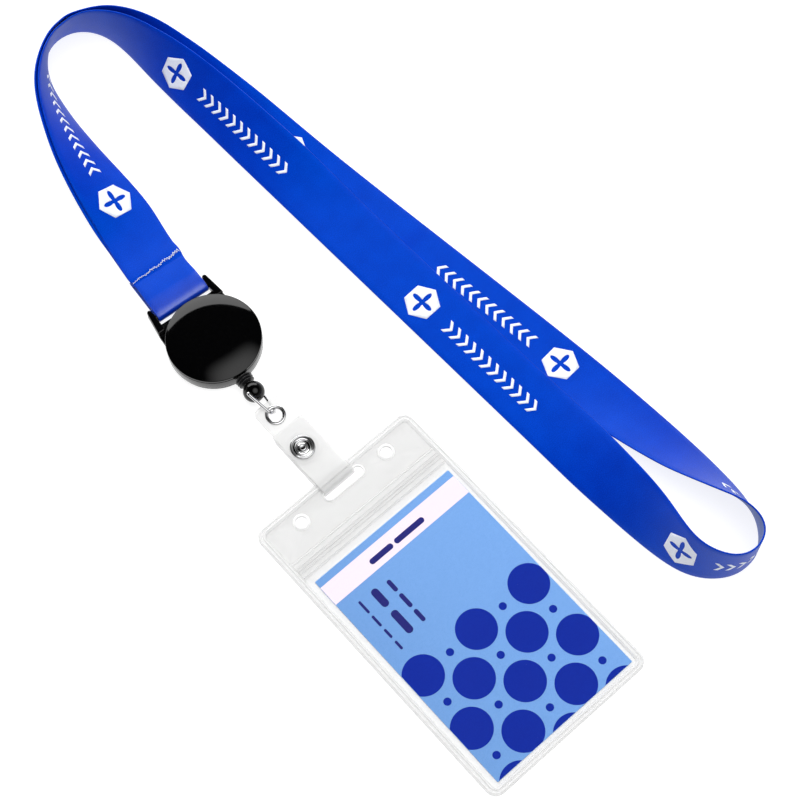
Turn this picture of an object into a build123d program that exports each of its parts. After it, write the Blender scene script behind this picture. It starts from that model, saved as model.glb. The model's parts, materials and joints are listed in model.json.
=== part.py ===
from build123d import *

import os
from math import atan, atan2, cos, degrees, hypot, pi, radians, sin, tan

# Lanyard badge holder: a printed neck ribbon carries a retractable reel, and a vinyl snap strap on the
# reel's wire loop carries a clear zip-top card holder. All of it lies on its back.
# Lengths are millimetres. +Z is up, +Y runs up the badge towards the reel, +X is to the right seen from the
# front, and the origin is the centre of the bounding box's bottom face.

# ---- Card and card holder, in the holder's own plane: x across, y up, z above its underside ----
CARD_CENTRE = (-30.4, -106.3)
HOLDER_TILT = 0.75          # degrees, the strap lifts the slotted edge
CARD = (57.0, 85.7, 0.4)    # width, height, thickness
HOLDER = (65.0, 113.6)      # outside width and height
HOLDER_MIDDLE = (-0.5, 10.2)
HOLDER_CORNER = 4.0
RIM_WIDTH = 2.5
RIM_BASE = 1.2
BEAD_HEIGHT, BEAD_WIDTH = 0.4, 0.9
SHEET = 0.3                 # vinyl sheet thickness
BACK_Z, CARD_Z, FRONT_Z = 0.2, 0.6, 1.1
FRONT_TOP = 44.6            # the front sheet's open edge
LIP_BOTTOM, LIP_TOP = 44.7, 51.2
HEADER_BOTTOM = 51.5
ZIP_Y, RAIL_GAP, RAIL_WIDTH, RAIL_HEIGHT = 48.0, 1.1, 0.4, 0.5
RIB_WIDTH, RIB_DROP = 0.7, 0.35
SLOT = (15.5, 3.6)
SLOT_CENTRE = (0.3, 61.3)
HOLE_CENTRES = ((-18.5, 60.2), (17.5, 60.2))
HOLE_RADIUS, HOLE_RING_RADIUS = 1.9, 2.8

# ---- Reel, in the reel's own plane: x across, y towards the neck ribbon, z up ----
REEL_CENTRE = (-29.5, 20.7)
REEL_TURN = 5.0             # degrees clockwise
REEL_RADIUS = 16.0
REEL_WALL = 1.2
PLATE_THICK = 1.5
CASE_FLOOR = 0.8
CASE_TOP = 6.2              # where the rear case meets the front cover
COVER_SHOULDER, COVER_CROWN, COVER_WALL = 7.3, 9.5, 1.0
SHOULDER_ROUND = 0.9
AXLE_RADIUS = 2.0
RUNNING_FIT = 0.05
FLANGE_RADIUS, FLANGE_THICK = 13.0, 0.6
SPOOL_Z, SPOOL_HEIGHT = 2.6, 3.7
DRUM_RADIUS, DRUM_WALL = 9.0, 0.8
WINDING_RADIUS = 11.8
ARM_REACH = 23.1
ARM_INSIDE, ARM_ROOT, ARM_TIP, ARM_HEIGHT = 10.3, 13.2, 11.9, 3.3
FORK_FLOOR = 17.1           # edge of the back plate under the ribbon's turn
BAR_Y, BAR_Z, BAR_RADIUS = 19.85, 1.9, 1.2
CORD_RADIUS, CORD_Z = 0.4, 4.4
BALL_Y, BALL_RADIUS = -22.75, 3.6
BOOT_NEAR, BOOT_FAR = -16.4, -19.25
BOOT_RINGS = (3.2, 3.0, 2.8)
KNOT_RADIUS, KNOT_ROOM = 1.2, 1.7

# ---- Wire loop and snap strap: u across, v up the strap from the fold, w above its underside ----
WIRE_RADIUS = 0.55
LOOP_ROLL = 52.0            # degrees, the loop's roll about the cord
LOOP_REACH = 9.6
VINYL = 0.6
FOLD_ORIGIN = (-31.15, -42.35, 0.4)
FOLD_RADIUS = 2.05
STRAP_WIDTH, TAB_WIDTH, TAB_CORNER = 12.7, 11.0, 2.5
STRAP_LENGTH, WIDE_LENGTH, FLAP_LENGTH = 35.1, 23.6, 24.0
FLAP_PROFILE = ((0.1, 3.5), (5.0, 3.2), (10.7, 2.0), (FLAP_LENGTH, 2.0))
EYELET_V, EYELET_HOLE, EYELET_BARREL, EYELET_FLANGE = 29.85, 2.2, 2.5, 3.4
EYELET_SHEET = 0.25
SNAP = (-1.1, 15.2)
SNAP_POST, SNAP_NUB, SNAP_FLANGE, SOCKET_HOLE = 0.9, 1.5, 3.2, 1.8
CAP_RADIUS, CAP_HEIGHT = 4.2, 0.65

# ---- Neck ribbon ----
RIBBON_WIDTH, RIBBON_THICK = 20.0, 0.6
SEAM_Y = 35.4               # where the fold's upper tail meets the ribbon, in the reel's plane
TAIL_Y = 36.6               # end of the fold's lower tail
# Each station is the ribbon's centre x and y, the height of its lower edge, and its lean in degrees:
# positive raises the edge to the left of the direction of travel, negative the edge to the right.
RIBBON_STRETCHES = {
    "ribbon_seam_leg": [
        (-26.1, 56.0, 1.75, 0), (-25.7, 61.0, 1.75, 0), (-24.2, 69.0, 1.4, 0), (-22.5, 77.0, 1.3, 2),
        (-21.8, 84.7, 1.2, 13), (-21.1, 92.4, 1.2, 24), (-20.1, 100.2, 1.1, 35), (-18.8, 108.3, 1.0, 45),
        (-16.9, 116.4, 0.9, 56)],
    "ribbon_left_turn": [
        (-14.6, 124.5, 0.7, 66), (-11.2, 132.6, 0.6, 79), (-6.2, 139.9, 0.5, 97), (-1.3, 144.8, 0.5, 108),
        (3.6, 147.1, 0.5, 112), (9.4, 146.9, 0.5, 111), (15.0, 143.4, 0.5, 103), (19.2, 137.5, 0.5, 92),
        (22.3, 129.6, 0.6, 78), (23.9, 121.2, 0.7, 67)],
    "ribbon_upper_leg": [
        (25.2, 113.1, 0.8, 57), (26.3, 105.2, 0.9, 49), (27.1, 97.3, 1.0, 43), (28.1, 85.5, 1.1, 37),
        (28.9, 73.6, 1.1, 31), (29.7, 61.7, 1.1, 25), (30.7, 49.8, 1.1, 14), (31.3, 33.8, 1.0, 5),
        (32.1, 1.7, 1.0, 4), (33.1, -38.4, 1.0, 4), (33.7, -62.4, 0.9, 6), (33.9, -74.4, 0.8, 11)],
    "ribbon_right_turn": [
        (33.8, -82.3, 0.8, 17), (33.6, -90.2, 0.7, 23), (33.3, -98.1, 0.6, 31), (33.2, -105.9, 0.6, 37),
        (33.0, -113.8, 0.5, 44), (32.6, -121.8, 0.5, 53), (32.0, -129.8, 0.5, 64), (32.2, -137.3, 0.5, 73),
        (34.6, -144.1, 0.5, 81), (39.9, -150.1, 0.5, 90), (45.6, -151.7, 0.5, 93), (51.2, -150.7, 0.5, 91),
        (55.2, -147.2, 0.5, 86), (57.4, -141.3, 0.5, 76), (58.0, -134.8, 0.5, 65), (57.0, -126.5, 0.5, 54),
        (55.9, -118.6, 0.5, 44), (54.8, -110.8, 0.5, 35), (54.0, -103.0, 0.5, 28)],
    "ribbon_lower_leg": [
        (52.7, -91.3, 0.5, 19), (51.3, -75.6, 0.5, 8), (49.4, -55.9, 0.4, 1), (44.9, -16.3, 0.4, 0),
        (42.1, 7.7, 0.4, 0), (39.4, 31.7, 0.4, 0), (36.9, 49.7, 0.4, -5), (34.8, 65.7, 0.4, -12)],
    "ribbon_outer_turn": [
        (32.8, 81.7, 0.4, -22), (31.6, 89.7, 0.4, -27), (30.5, 97.4, 0.4, -32), (29.4, 105.2, 0.4, -38),
        (28.0, 113.1, 0.4, -46), (26.9, 121.1, 0.4, -56), (24.8, 129.6, 0.4, -71), (21.2, 137.9, 0.4, -88),
        (15.9, 144.0, 0.5, -104), (9.9, 148.6, 0.5, -111), (3.3, 148.8, 0.5, -113), (-2.3, 145.7, 0.5, -108),
        (-7.4, 140.3, 0.4, -96)],
    "ribbon_outer_leg": [
        (-12.5, 132.9, 0.4, -78), (-15.7, 124.7, 0.4, -65), (-18.0, 116.5, 0.4, -55), (-19.9, 108.3, 0.4, -44),
        (-21.3, 100.3, 0.4, -34), (-22.2, 92.4, 0.4, -23), (-23.0, 84.4, 0.4, -12), (-23.6, 77.1, 0.4, -1),
        (-24.4, 68.7, 0.4, 0), (-25.8, 60.2, 1.05, 0), (-26.2, 55.0, 1.05, 0)],
}
STITCH_WIDTH, STITCH_HEIGHT, STITCH_PITCH, STITCH_REACH = 0.35, 0.15, 1.6, 1.3


# ---- Planes ----
holder_rise = (HOLDER[1] / 2 - HOLDER_MIDDLE[1]) * tan(radians(HOLDER_TILT))
holder_plane = Plane(
    origin=(*CARD_CENTRE, holder_rise),
    x_dir=(1, 0, 0),
    z_dir=(0, -sin(radians(HOLDER_TILT)), cos(radians(HOLDER_TILT))),
)
reel_plane = Plane(
    origin=(*REEL_CENTRE, 0),
    x_dir=(cos(radians(REEL_TURN)), -sin(radians(REEL_TURN)), 0),
    z_dir=(0, 0, 1),
)
cord_direction = reel_plane.y_dir
ball_centre = reel_plane.from_local_coords(Vector(0, BALL_Y, CORD_Z))
strap_up = (ball_centre - Vector(*FOLD_ORIGIN)).normalized()
strap_across = strap_up.cross(Vector(0, 0, 1)).normalized()
strap_normal = strap_across.cross(strap_up)
strap_plane = Plane(
    origin=Vector(*FOLD_ORIGIN) - strap_normal * (VINYL / 2), x_dir=strap_across, z_dir=strap_normal
)
strap_side = Plane(origin=strap_plane.origin, x_dir=strap_up, z_dir=strap_across)
loop_across = strap_across * cos(radians(LOOP_ROLL)) - strap_normal * sin(radians(LOOP_ROLL))
loop_plane = Plane(origin=ball_centre, x_dir=loop_across, z_dir=loop_across.cross(strap_up * -1))


def cord_plane(y):
    """Plane across the cord at y along the reel's axis, facing away from the reel."""
    return Plane(
        origin=reel_plane.from_local_coords(Vector(0, y, CORD_Z)),
        x_dir=reel_plane.x_dir,
        z_dir=cord_direction * -1,
    )


def save(builder, name):
    """Label a finished sub-part and write it as one STEP file."""
    builder.part.label = name
    export_step(builder.part, f"parts/{name}.step")


def header_cutouts():
    """Slot and the two round holes through the holder's slotted edge."""
    with Locations(SLOT_CENTRE):
        SlotOverall(*SLOT, mode=Mode.SUBTRACT)
    with Locations(*HOLE_CENTRES):
        Circle(HOLE_RADIUS, mode=Mode.SUBTRACT)


def rim_outline(inset):
    """The holder's rounded outline, moved in by inset."""
    with Locations(HOLDER_MIDDLE):
        RectangleRounded(HOLDER[0] - 2 * inset, HOLDER[1] - 2 * inset, HOLDER_CORNER - inset)


def rim_band(outer, inner):
    """A band that follows the rim, between two insets."""
    rim_outline(outer)
    with Locations(HOLDER_MIDDLE):
        RectangleRounded(
            HOLDER[0] - 2 * inner, HOLDER[1] - 2 * inner, HOLDER_CORNER - inner, mode=Mode.SUBTRACT
        )


os.makedirs("parts", exist_ok=True)

# ======== Card holder ========
inside_left = HOLDER_MIDDLE[0] - HOLDER[0] / 2 + RIM_WIDTH
inside_right = HOLDER_MIDDLE[0] + HOLDER[0] / 2 - RIM_WIDTH
inside_bottom = HOLDER_MIDDLE[1] - HOLDER[1] / 2 + RIM_WIDTH
inside_top = HOLDER_MIDDLE[1] + HOLDER[1] / 2 - RIM_WIDTH
inside_width = inside_right - inside_left
INSIDE_CORNER = HOLDER_CORNER - RIM_WIDTH

# Back sheet with the welded rim: two beads run side by side all round.
with BuildPart() as holder_back:
    with BuildSketch(holder_plane):
        rim_band(0, RIM_WIDTH)
    extrude(amount=RIM_BASE)
    with BuildSketch(holder_plane.offset(BACK_Z)):
        rim_outline(RIM_WIDTH)
        header_cutouts()
    extrude(amount=SHEET)
    for bead_inset in (0.15, RIM_WIDTH - 0.15 - BEAD_WIDTH):
        with BuildSketch(holder_plane.offset(RIM_BASE)):
            rim_band(bead_inset, bead_inset + BEAD_WIDTH)
        extrude(amount=BEAD_HEIGHT)
save(holder_back, "holder_back")

# Front sheet: open at the top, welded inside the rim on the other three sides.
with BuildPart() as holder_front:
    with BuildSketch(holder_plane.offset(FRONT_Z)):
        rim_outline(RIM_WIDTH)
        with Locations((HOLDER_MIDDLE[0], (FRONT_TOP + inside_top) / 2)):
            Rectangle(inside_width, inside_top - FRONT_TOP, mode=Mode.SUBTRACT)
    extrude(amount=SHEET)
save(holder_front, "holder_front")

# Header patch: doubles the sheet round the slot and the holes, with a raised ring at each hole.
with BuildPart() as header_patch:
    with BuildSketch(holder_plane.offset(BACK_Z + SHEET)):
        rim_outline(RIM_WIDTH)
        with Locations((HOLDER_MIDDLE[0], (HEADER_BOTTOM + inside_bottom) / 2)):
            Rectangle(inside_width, HEADER_BOTTOM - inside_bottom, mode=Mode.SUBTRACT)
        header_cutouts()
    extrude(amount=SHEET)
    with BuildSketch(holder_plane.offset(BACK_Z + 2 * SHEET)):
        with Locations(*HOLE_CENTRES):
            Circle(HOLE_RING_RADIUS)
            Circle(HOLE_RADIUS, mode=Mode.SUBTRACT)
    extrude(amount=SHEET)
save(header_patch, "header_patch")

# Zip track: two rails on the back sheet, crimped shut at both ends.
with BuildPart() as zip_track:
    with BuildSketch(holder_plane.offset(BACK_Z + SHEET)):
        for side in (-1, 1):
            with Locations((HOLDER_MIDDLE[0], ZIP_Y + side * (RAIL_GAP + RAIL_WIDTH) / 2)):
                Rectangle(inside_width - 0.6, RAIL_WIDTH)
        for end_x in (inside_left + 0.6, inside_right - 0.6):
            with Locations((end_x, ZIP_Y)):
                Rectangle(0.8, RAIL_GAP + 2 * RAIL_WIDTH)
    extrude(amount=RAIL_HEIGHT)
save(zip_track, "zip_track")

# Zip lip: the front sheet's closing strip, with the rib that snaps between the rails.
with BuildPart() as zip_lip:
    with BuildSketch(holder_plane.offset(FRONT_Z)):
        with Locations((HOLDER_MIDDLE[0], (LIP_BOTTOM + LIP_TOP) / 2)):
            Rectangle(inside_width - 0.4, LIP_TOP - LIP_BOTTOM)
    extrude(amount=SHEET)
    with BuildSketch(holder_plane.offset(FRONT_Z - RIB_DROP)):
        with Locations((HOLDER_MIDDLE[0], ZIP_Y)):
            Rectangle(inside_width - 2.6, RIB_WIDTH)
    extrude(amount=RIB_DROP)
save(zip_lip, "zip_lip")

with BuildPart() as card_insert:
    with BuildSketch(holder_plane.offset(CARD_Z)):
        with Locations((0, -0.15)):
            RectangleRounded(CARD[0], CARD[1], 0.8)
    extrude(amount=CARD[2])
save(card_insert, "card_insert")

# ======== Snap strap ========
# Back of the strap: flat up to the eyelet tab, and folded forward through the holder's slot.
with BuildPart() as strap_back:
    with BuildSketch(strap_side):
        with BuildLine():
            inner = FOLD_RADIUS - VINYL
            Line((STRAP_LENGTH, 0), (0, 0))
            ThreePointArc((0, 0), (-FOLD_RADIUS, FOLD_RADIUS), (0, 2 * FOLD_RADIUS))
            Line((0, 2 * FOLD_RADIUS), (0, 2 * FOLD_RADIUS - VINYL))
            ThreePointArc((0, 2 * FOLD_RADIUS - VINYL), (-inner, FOLD_RADIUS), (0, VINYL))
            Line((0, VINYL), (STRAP_LENGTH, VINYL))
            Line((STRAP_LENGTH, VINYL), (STRAP_LENGTH, 0))
        make_face()
    extrude(amount=STRAP_WIDTH / 2, both=True)
    with BuildSketch(strap_plane.offset(-1)):
        with Locations((0, (WIDE_LENGTH - 3) / 2)):
            Rectangle(STRAP_WIDTH, WIDE_LENGTH + 3)
        with Locations((0, STRAP_LENGTH / 2)):
            RectangleRounded(TAB_WIDTH, STRAP_LENGTH, TAB_CORNER)
    extrude(amount=2 * FOLD_RADIUS + 2, mode=Mode.INTERSECT)
    with BuildSketch(strap_plane.offset(-1)):
        with Locations((0, EYELET_V)):
            Circle(EYELET_BARREL)
        with Locations(SNAP):
            Circle(SNAP_POST)
    extrude(amount=1 + VINYL, mode=Mode.SUBTRACT)
save(strap_back, "strap_back")

# Flap: the strap's front end, which comes down on the snap.
with BuildPart() as strap_flap:
    with BuildSketch(strap_side):
        with BuildLine():
            lower = [point for point in FLAP_PROFILE]
            upper = [(v, w + VINYL) for v, w in reversed(FLAP_PROFILE)]
            Polyline(*lower, *upper, close=True)
        make_face()
    extrude(amount=STRAP_WIDTH / 2, both=True)
    with BuildSketch(strap_plane):
        with Locations(SNAP):
            Circle(SNAP_POST)
    extrude(amount=2 * FOLD_RADIUS + 1, mode=Mode.SUBTRACT)
save(strap_flap, "strap_flap")

with BuildPart() as eyelet_barrel:
    with BuildSketch(strap_plane.offset(-EYELET_SHEET)):
        with Locations((0, EYELET_V)):
            Circle(EYELET_BARREL)
            Circle(EYELET_HOLE, mode=Mode.SUBTRACT)
    extrude(amount=VINYL + 2 * EYELET_SHEET)
    with BuildSketch(strap_plane.offset(VINYL)):
        with Locations((0, EYELET_V)):
            Circle(EYELET_FLANGE)
            Circle(EYELET_HOLE, mode=Mode.SUBTRACT)
    extrude(amount=EYELET_SHEET)
save(eyelet_barrel, "eyelet_barrel")

with BuildPart() as eyelet_washer:
    with BuildSketch(strap_plane.offset(-EYELET_SHEET)):
        with Locations((0, EYELET_V)):
            Circle(EYELET_FLANGE)
            Circle(EYELET_BARREL, mode=Mode.SUBTRACT)
    extrude(amount=EYELET_SHEET)
save(eyelet_washer, "eyelet_washer")

# Snap fastener: post and stud on the strap, cap and socket on the flap.
FLAP_UNDERSIDE = FLAP_PROFILE[-1][1]
STUD_FLANGE, NUB_HEIGHT, POST_HEAD = 0.3, 0.8, 0.35
with BuildPart() as snap_post:
    with BuildSketch(strap_plane.offset(-POST_HEAD)):
        with Locations(SNAP):
            Circle(SNAP_FLANGE)
    extrude(amount=POST_HEAD)
    with BuildSketch(strap_plane):
        with Locations(SNAP):
            Circle(SNAP_POST)
    extrude(amount=VINYL + STUD_FLANGE)
save(snap_post, "snap_post")

with BuildPart() as snap_stud:
    with BuildSketch(strap_plane.offset(VINYL)):
        with Locations(SNAP):
            Circle(SNAP_FLANGE)
    extrude(amount=STUD_FLANGE)
    with BuildSketch(strap_plane.offset(VINYL + STUD_FLANGE)):
        with Locations(SNAP):
            Circle(SNAP_NUB)
    extrude(amount=NUB_HEIGHT)
    with BuildSketch(strap_plane.offset(VINYL)):
        with Locations(SNAP):
            Circle(SNAP_POST)
    extrude(amount=STUD_FLANGE, mode=Mode.SUBTRACT)
save(snap_stud, "snap_stud")

with BuildPart() as snap_socket:
    with BuildSketch(strap_plane.offset(VINYL + STUD_FLANGE + 0.25)):
        with Locations(SNAP):
            Circle(SNAP_FLANGE)
            Circle(SOCKET_HOLE, mode=Mode.SUBTRACT)
    extrude(amount=FLAP_UNDERSIDE - VINYL - STUD_FLANGE - 0.25)
save(snap_socket, "snap_socket")

# The cap's face is a rolled ring, a sunk ring and a centre button, turned about the snap's axis.
snap_axis_plane = Plane(
    origin=strap_plane.from_local_coords(Vector(SNAP[0], SNAP[1], FLAP_UNDERSIDE + VINYL)),
    x_dir=strap_across,
    z_dir=strap_up * -1,
)
with BuildPart() as snap_cap:
    with BuildSketch(snap_axis_plane):
        with BuildLine():
            Polyline(
                (0, -VINYL), (SNAP_POST, -VINYL), (SNAP_POST, 0), (CAP_RADIUS, 0), (CAP_RADIUS, 0.25),
                (3.95, CAP_HEIGHT), (3.4, CAP_HEIGHT), (2.6, 0.3), (1.4, 0.3), (1.0, 0.55), (0, 0.6),
                close=True,
            )
        make_face()
    revolve(axis=Axis(snap_axis_plane.origin, strap_normal))
save(snap_cap, "snap_cap")

# ======== Wire loop, ball and cord ========
with BuildPart() as wire_loop:
    with BuildLine(loop_plane) as loop_path:
        FilletPolyline(
            (-2.0, 0), (-4.4, 0), (-1.75, LOOP_REACH), (1.75, LOOP_REACH), (4.4, 0), (2.0, 0),
            radius=[0.8, 1.3, 1.3, 0.8],
        )
    with BuildSketch(Plane(origin=loop_path.line @ 0, z_dir=loop_path.line % 0)):
        Circle(WIRE_RADIUS)
    sweep()
save(wire_loop, "wire_loop")

with BuildPart() as pull_ball:
    with Locations(Location(ball_centre)):
        Sphere(BALL_RADIUS)
        Sphere(KNOT_ROOM, mode=Mode.SUBTRACT)
    with BuildSketch(Plane(origin=ball_centre, z_dir=loop_across)):
        Circle(WIRE_RADIUS + 2 * RUNNING_FIT)
    extrude(amount=BALL_RADIUS + 1, both=True, mode=Mode.SUBTRACT)
    with BuildSketch(cord_plane(BALL_Y)):
        Circle(CORD_RADIUS + RUNNING_FIT)
    extrude(amount=-BALL_RADIUS - 1, mode=Mode.SUBTRACT)
    with BuildSketch(cord_plane(BOOT_FAR - 0.3)):
        Circle(BALL_RADIUS)
    extrude(amount=-2, mode=Mode.SUBTRACT)
save(pull_ball, "pull_ball")

with BuildPart() as cord_knot:
    with Locations(Location(ball_centre)):
        Sphere(KNOT_RADIUS)
    with BuildSketch(cord_plane(BALL_Y)):
        Circle(CORD_RADIUS)
    extrude(amount=-KNOT_RADIUS - 1, mode=Mode.SUBTRACT)
save(cord_knot, "cord_knot")

CORD_START = -12.2
with BuildPart() as cord_lead:
    with BuildSketch(cord_plane(CORD_START)):
        Circle(CORD_RADIUS)
    extrude(amount=CORD_START - BALL_Y)
save(cord_lead, "cord_lead")

# Rubber sleeve on the cord: three rings that step down towards the ball.
with BuildPart() as cord_boot:
    ring_pitch = (BOOT_NEAR - BOOT_FAR) / len(BOOT_RINGS)
    with BuildSketch(cord_plane(BOOT_NEAR)):
        Circle(BOOT_RINGS[-1] - 0.5)
    extrude(amount=BOOT_NEAR - BOOT_FAR)
    for index, ring_radius in enumerate(BOOT_RINGS):
        with BuildSketch(cord_plane(BOOT_NEAR - index * ring_pitch)):
            Circle(ring_radius)
        extrude(amount=ring_pitch * 0.65)
    with BuildSketch(cord_plane(BOOT_NEAR)):
        Circle(CORD_RADIUS)
    extrude(amount=BOOT_NEAR - BOOT_FAR, mode=Mode.SUBTRACT)
save(cord_boot, "cord_boot")

# ======== Reel ========
# Back plate: a disc under the case, and a fork whose round bar takes the neck ribbon.
with BuildPart() as back_plate:
    with BuildSketch(reel_plane):
        Circle(REEL_RADIUS - 0.6)
        with BuildLine():
            Polyline(
                (-13.5, 6), (-ARM_ROOT, 12.2), (-12.6, FORK_FLOOR), (12.6, FORK_FLOOR), (ARM_ROOT, 12.2), (13.5, 6),
                close=True,
            )
        make_face()
    extrude(amount=PLATE_THICK)
    for side in (-1, 1):
        with BuildSketch(reel_plane):
            with BuildLine():
                Polyline(
                    (side * ARM_INSIDE, 13.0), (side * ARM_ROOT, 13.0), (side * ARM_TIP, ARM_REACH),
                    (side * ARM_INSIDE, ARM_REACH), close=True,
                )
            make_face()
        extrude(amount=ARM_HEIGHT)
    bar_plane = Plane(
        origin=reel_plane.from_local_coords(Vector(0, BAR_Y, BAR_Z)), x_dir=(0, 0, 1), z_dir=reel_plane.x_dir
    )
    with BuildSketch(bar_plane):
        Circle(BAR_RADIUS)
    extrude(amount=ARM_INSIDE + 0.5, both=True)
save(back_plate, "back_plate")

BUSH_RADIUS, BUSH_INNER, BUSH_OUTER = 1.3, -14.4, -16.1
with BuildPart() as rear_case:
    with BuildSketch(reel_plane.offset(PLATE_THICK)):
        Circle(REEL_RADIUS)
    extrude(amount=CASE_TOP - PLATE_THICK)
    with BuildSketch(reel_plane.offset(PLATE_THICK + CASE_FLOOR)):
        Circle(REEL_RADIUS - REEL_WALL)
    extrude(amount=CASE_TOP, mode=Mode.SUBTRACT)
    fillet(rear_case.faces().sort_by(Axis.Z)[0].edges(), radius=0.5)
    with BuildSketch(cord_plane(0)):
        Circle(BUSH_RADIUS)
    extrude(amount=REEL_RADIUS + 1, mode=Mode.SUBTRACT)
save(rear_case, "rear_case")

# Front cover: a shallow dome with a short upright wall and a rounded shoulder.
cover_plane = Plane(origin=reel_plane.origin, x_dir=reel_plane.x_dir, z_dir=cord_direction * -1)
with BuildPart() as front_cover:
    with BuildSketch(cover_plane) as cover_profile:
        with BuildLine():
            half_way = REEL_RADIUS * 0.55
            sagitta = COVER_CROWN - COVER_SHOULDER
            dome_radius = (REEL_RADIUS**2 + sagitta**2) / (2 * sagitta)
            half_height = COVER_CROWN - dome_radius + (dome_radius**2 - half_way**2) ** 0.5
            inner_edge = REEL_RADIUS - REEL_WALL
            inner_height = COVER_CROWN - dome_radius + (dome_radius**2 - inner_edge**2) ** 0.5 - COVER_WALL
            Line((0, COVER_CROWN - COVER_WALL), (0, COVER_CROWN))
            ThreePointArc((0, COVER_CROWN), (half_way, half_height), (REEL_RADIUS, COVER_SHOULDER))
            Line((REEL_RADIUS, COVER_SHOULDER), (REEL_RADIUS, CASE_TOP))
            Line((REEL_RADIUS, CASE_TOP), (inner_edge, CASE_TOP))
            Line((inner_edge, CASE_TOP), (inner_edge, inner_height))
            ThreePointArc(
                (inner_edge, inner_height), (half_way, half_height - COVER_WALL),
                (0, COVER_CROWN - COVER_WALL),
            )
        make_face()
        fillet(cover_profile.vertices().group_by(Axis.X)[-1].sort_by(Axis.Y)[-1], radius=SHOULDER_ROUND)
    revolve(axis=Axis(reel_plane.origin, (0, 0, 1)))
save(front_cover, "front_cover")

with BuildPart() as spool_axle:
    with BuildSketch(reel_plane.offset(PLATE_THICK + CASE_FLOOR)):
        Circle(AXLE_RADIUS)
    extrude(amount=COVER_CROWN - COVER_WALL - 0.3 - PLATE_THICK - CASE_FLOOR)
save(spool_axle, "spool_axle")

with BuildPart() as spool:
    for flange_z in (SPOOL_Z, SPOOL_Z + SPOOL_HEIGHT - FLANGE_THICK):
        with BuildSketch(reel_plane.offset(flange_z)):
            Circle(FLANGE_RADIUS)
        extrude(amount=FLANGE_THICK)
    with BuildSketch(reel_plane.offset(SPOOL_Z)):
        Circle(DRUM_RADIUS)
    extrude(amount=SPOOL_HEIGHT)
    with BuildSketch(reel_plane.offset(SPOOL_Z + FLANGE_THICK)):
        Circle(DRUM_RADIUS - DRUM_WALL)
    extrude(amount=SPOOL_HEIGHT, mode=Mode.SUBTRACT)
    with BuildSketch(reel_plane.offset(SPOOL_Z)):
        Circle(AXLE_RADIUS + RUNNING_FIT)
    extrude(amount=SPOOL_HEIGHT, mode=Mode.SUBTRACT)
save(spool, "spool")

with BuildPart() as cord_winding:
    with BuildSketch(reel_plane.offset(SPOOL_Z + FLANGE_THICK)):
        Circle(WINDING_RADIUS)
        Circle(DRUM_RADIUS, mode=Mode.SUBTRACT)
    extrude(amount=SPOOL_HEIGHT - 2 * FLANGE_THICK)
save(cord_winding, "cord_winding")

# Spiral return spring: half turns on two centres, each half turn one half pitch larger.
SPRING_START, SPRING_PITCH, SPRING_HALF_TURNS, SPRING_STRIP = 2.6, 0.9, 10, 0.25
with BuildPart() as spiral_spring:
    with BuildSketch(reel_plane.offset(SPOOL_Z + FLANGE_THICK + 0.3)):
        with BuildLine() as spring_line:
            for turn in range(SPRING_HALF_TURNS):
                centre_x = SPRING_PITCH / 4 if turn % 2 else -SPRING_PITCH / 4
                radius = SPRING_START + turn * SPRING_PITCH / 2
                CenterArc((centre_x, 0), radius, 180 * (turn % 2), 180)
        trace(line_width=SPRING_STRIP)
    extrude(amount=SPOOL_HEIGHT - FLANGE_THICK - 1.2)
save(spiral_spring, "spiral_spring")

with BuildPart() as cord_exit_bush:
    with BuildSketch(cord_plane(BUSH_INNER)):
        Circle(BUSH_RADIUS)
        Circle(CORD_RADIUS + RUNNING_FIT, mode=Mode.SUBTRACT)
    extrude(amount=BUSH_INNER - BUSH_OUTER)
save(cord_exit_bush, "cord_exit_bush")

# ======== Neck ribbon ========
ribbon_route = [station for stations in RIBBON_STRETCHES.values() for station in stations]


def ribbon_section(index):
    """Plane across the ribbon at a station: its x runs across the width, its normal along the travel."""
    before = ribbon_route[max(index - 1, 0)]
    after = ribbon_route[min(index + 1, len(ribbon_route) - 1)]
    run = Vector(after[0] - before[0], after[1] - before[1], 0).normalized()
    left = Vector(-run.Y, run.X, 0)
    x, y, lift, lean = ribbon_route[index]
    rise = abs(sin(radians(lean))) * RIBBON_WIDTH / 2
    across = left * cos(radians(lean)) + Vector(0, 0, 1) * sin(radians(lean))
    return Plane(origin=(x, y, lift + rise), x_dir=across, z_dir=run)


first_station = 0
for stretch_name, stretch_stations in RIBBON_STRETCHES.items():
    last_station = min(first_station + len(stretch_stations), len(ribbon_route) - 1)
    with BuildPart() as ribbon_stretch:
        for station_index in range(first_station, last_station):
            for section_index in (station_index, station_index + 1):
                with BuildSketch(ribbon_section(section_index)):
                    Rectangle(RIBBON_WIDTH, RIBBON_THICK)
            loft(ruled=True)
    save(ribbon_stretch, stretch_name)
    first_station = last_station

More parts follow.
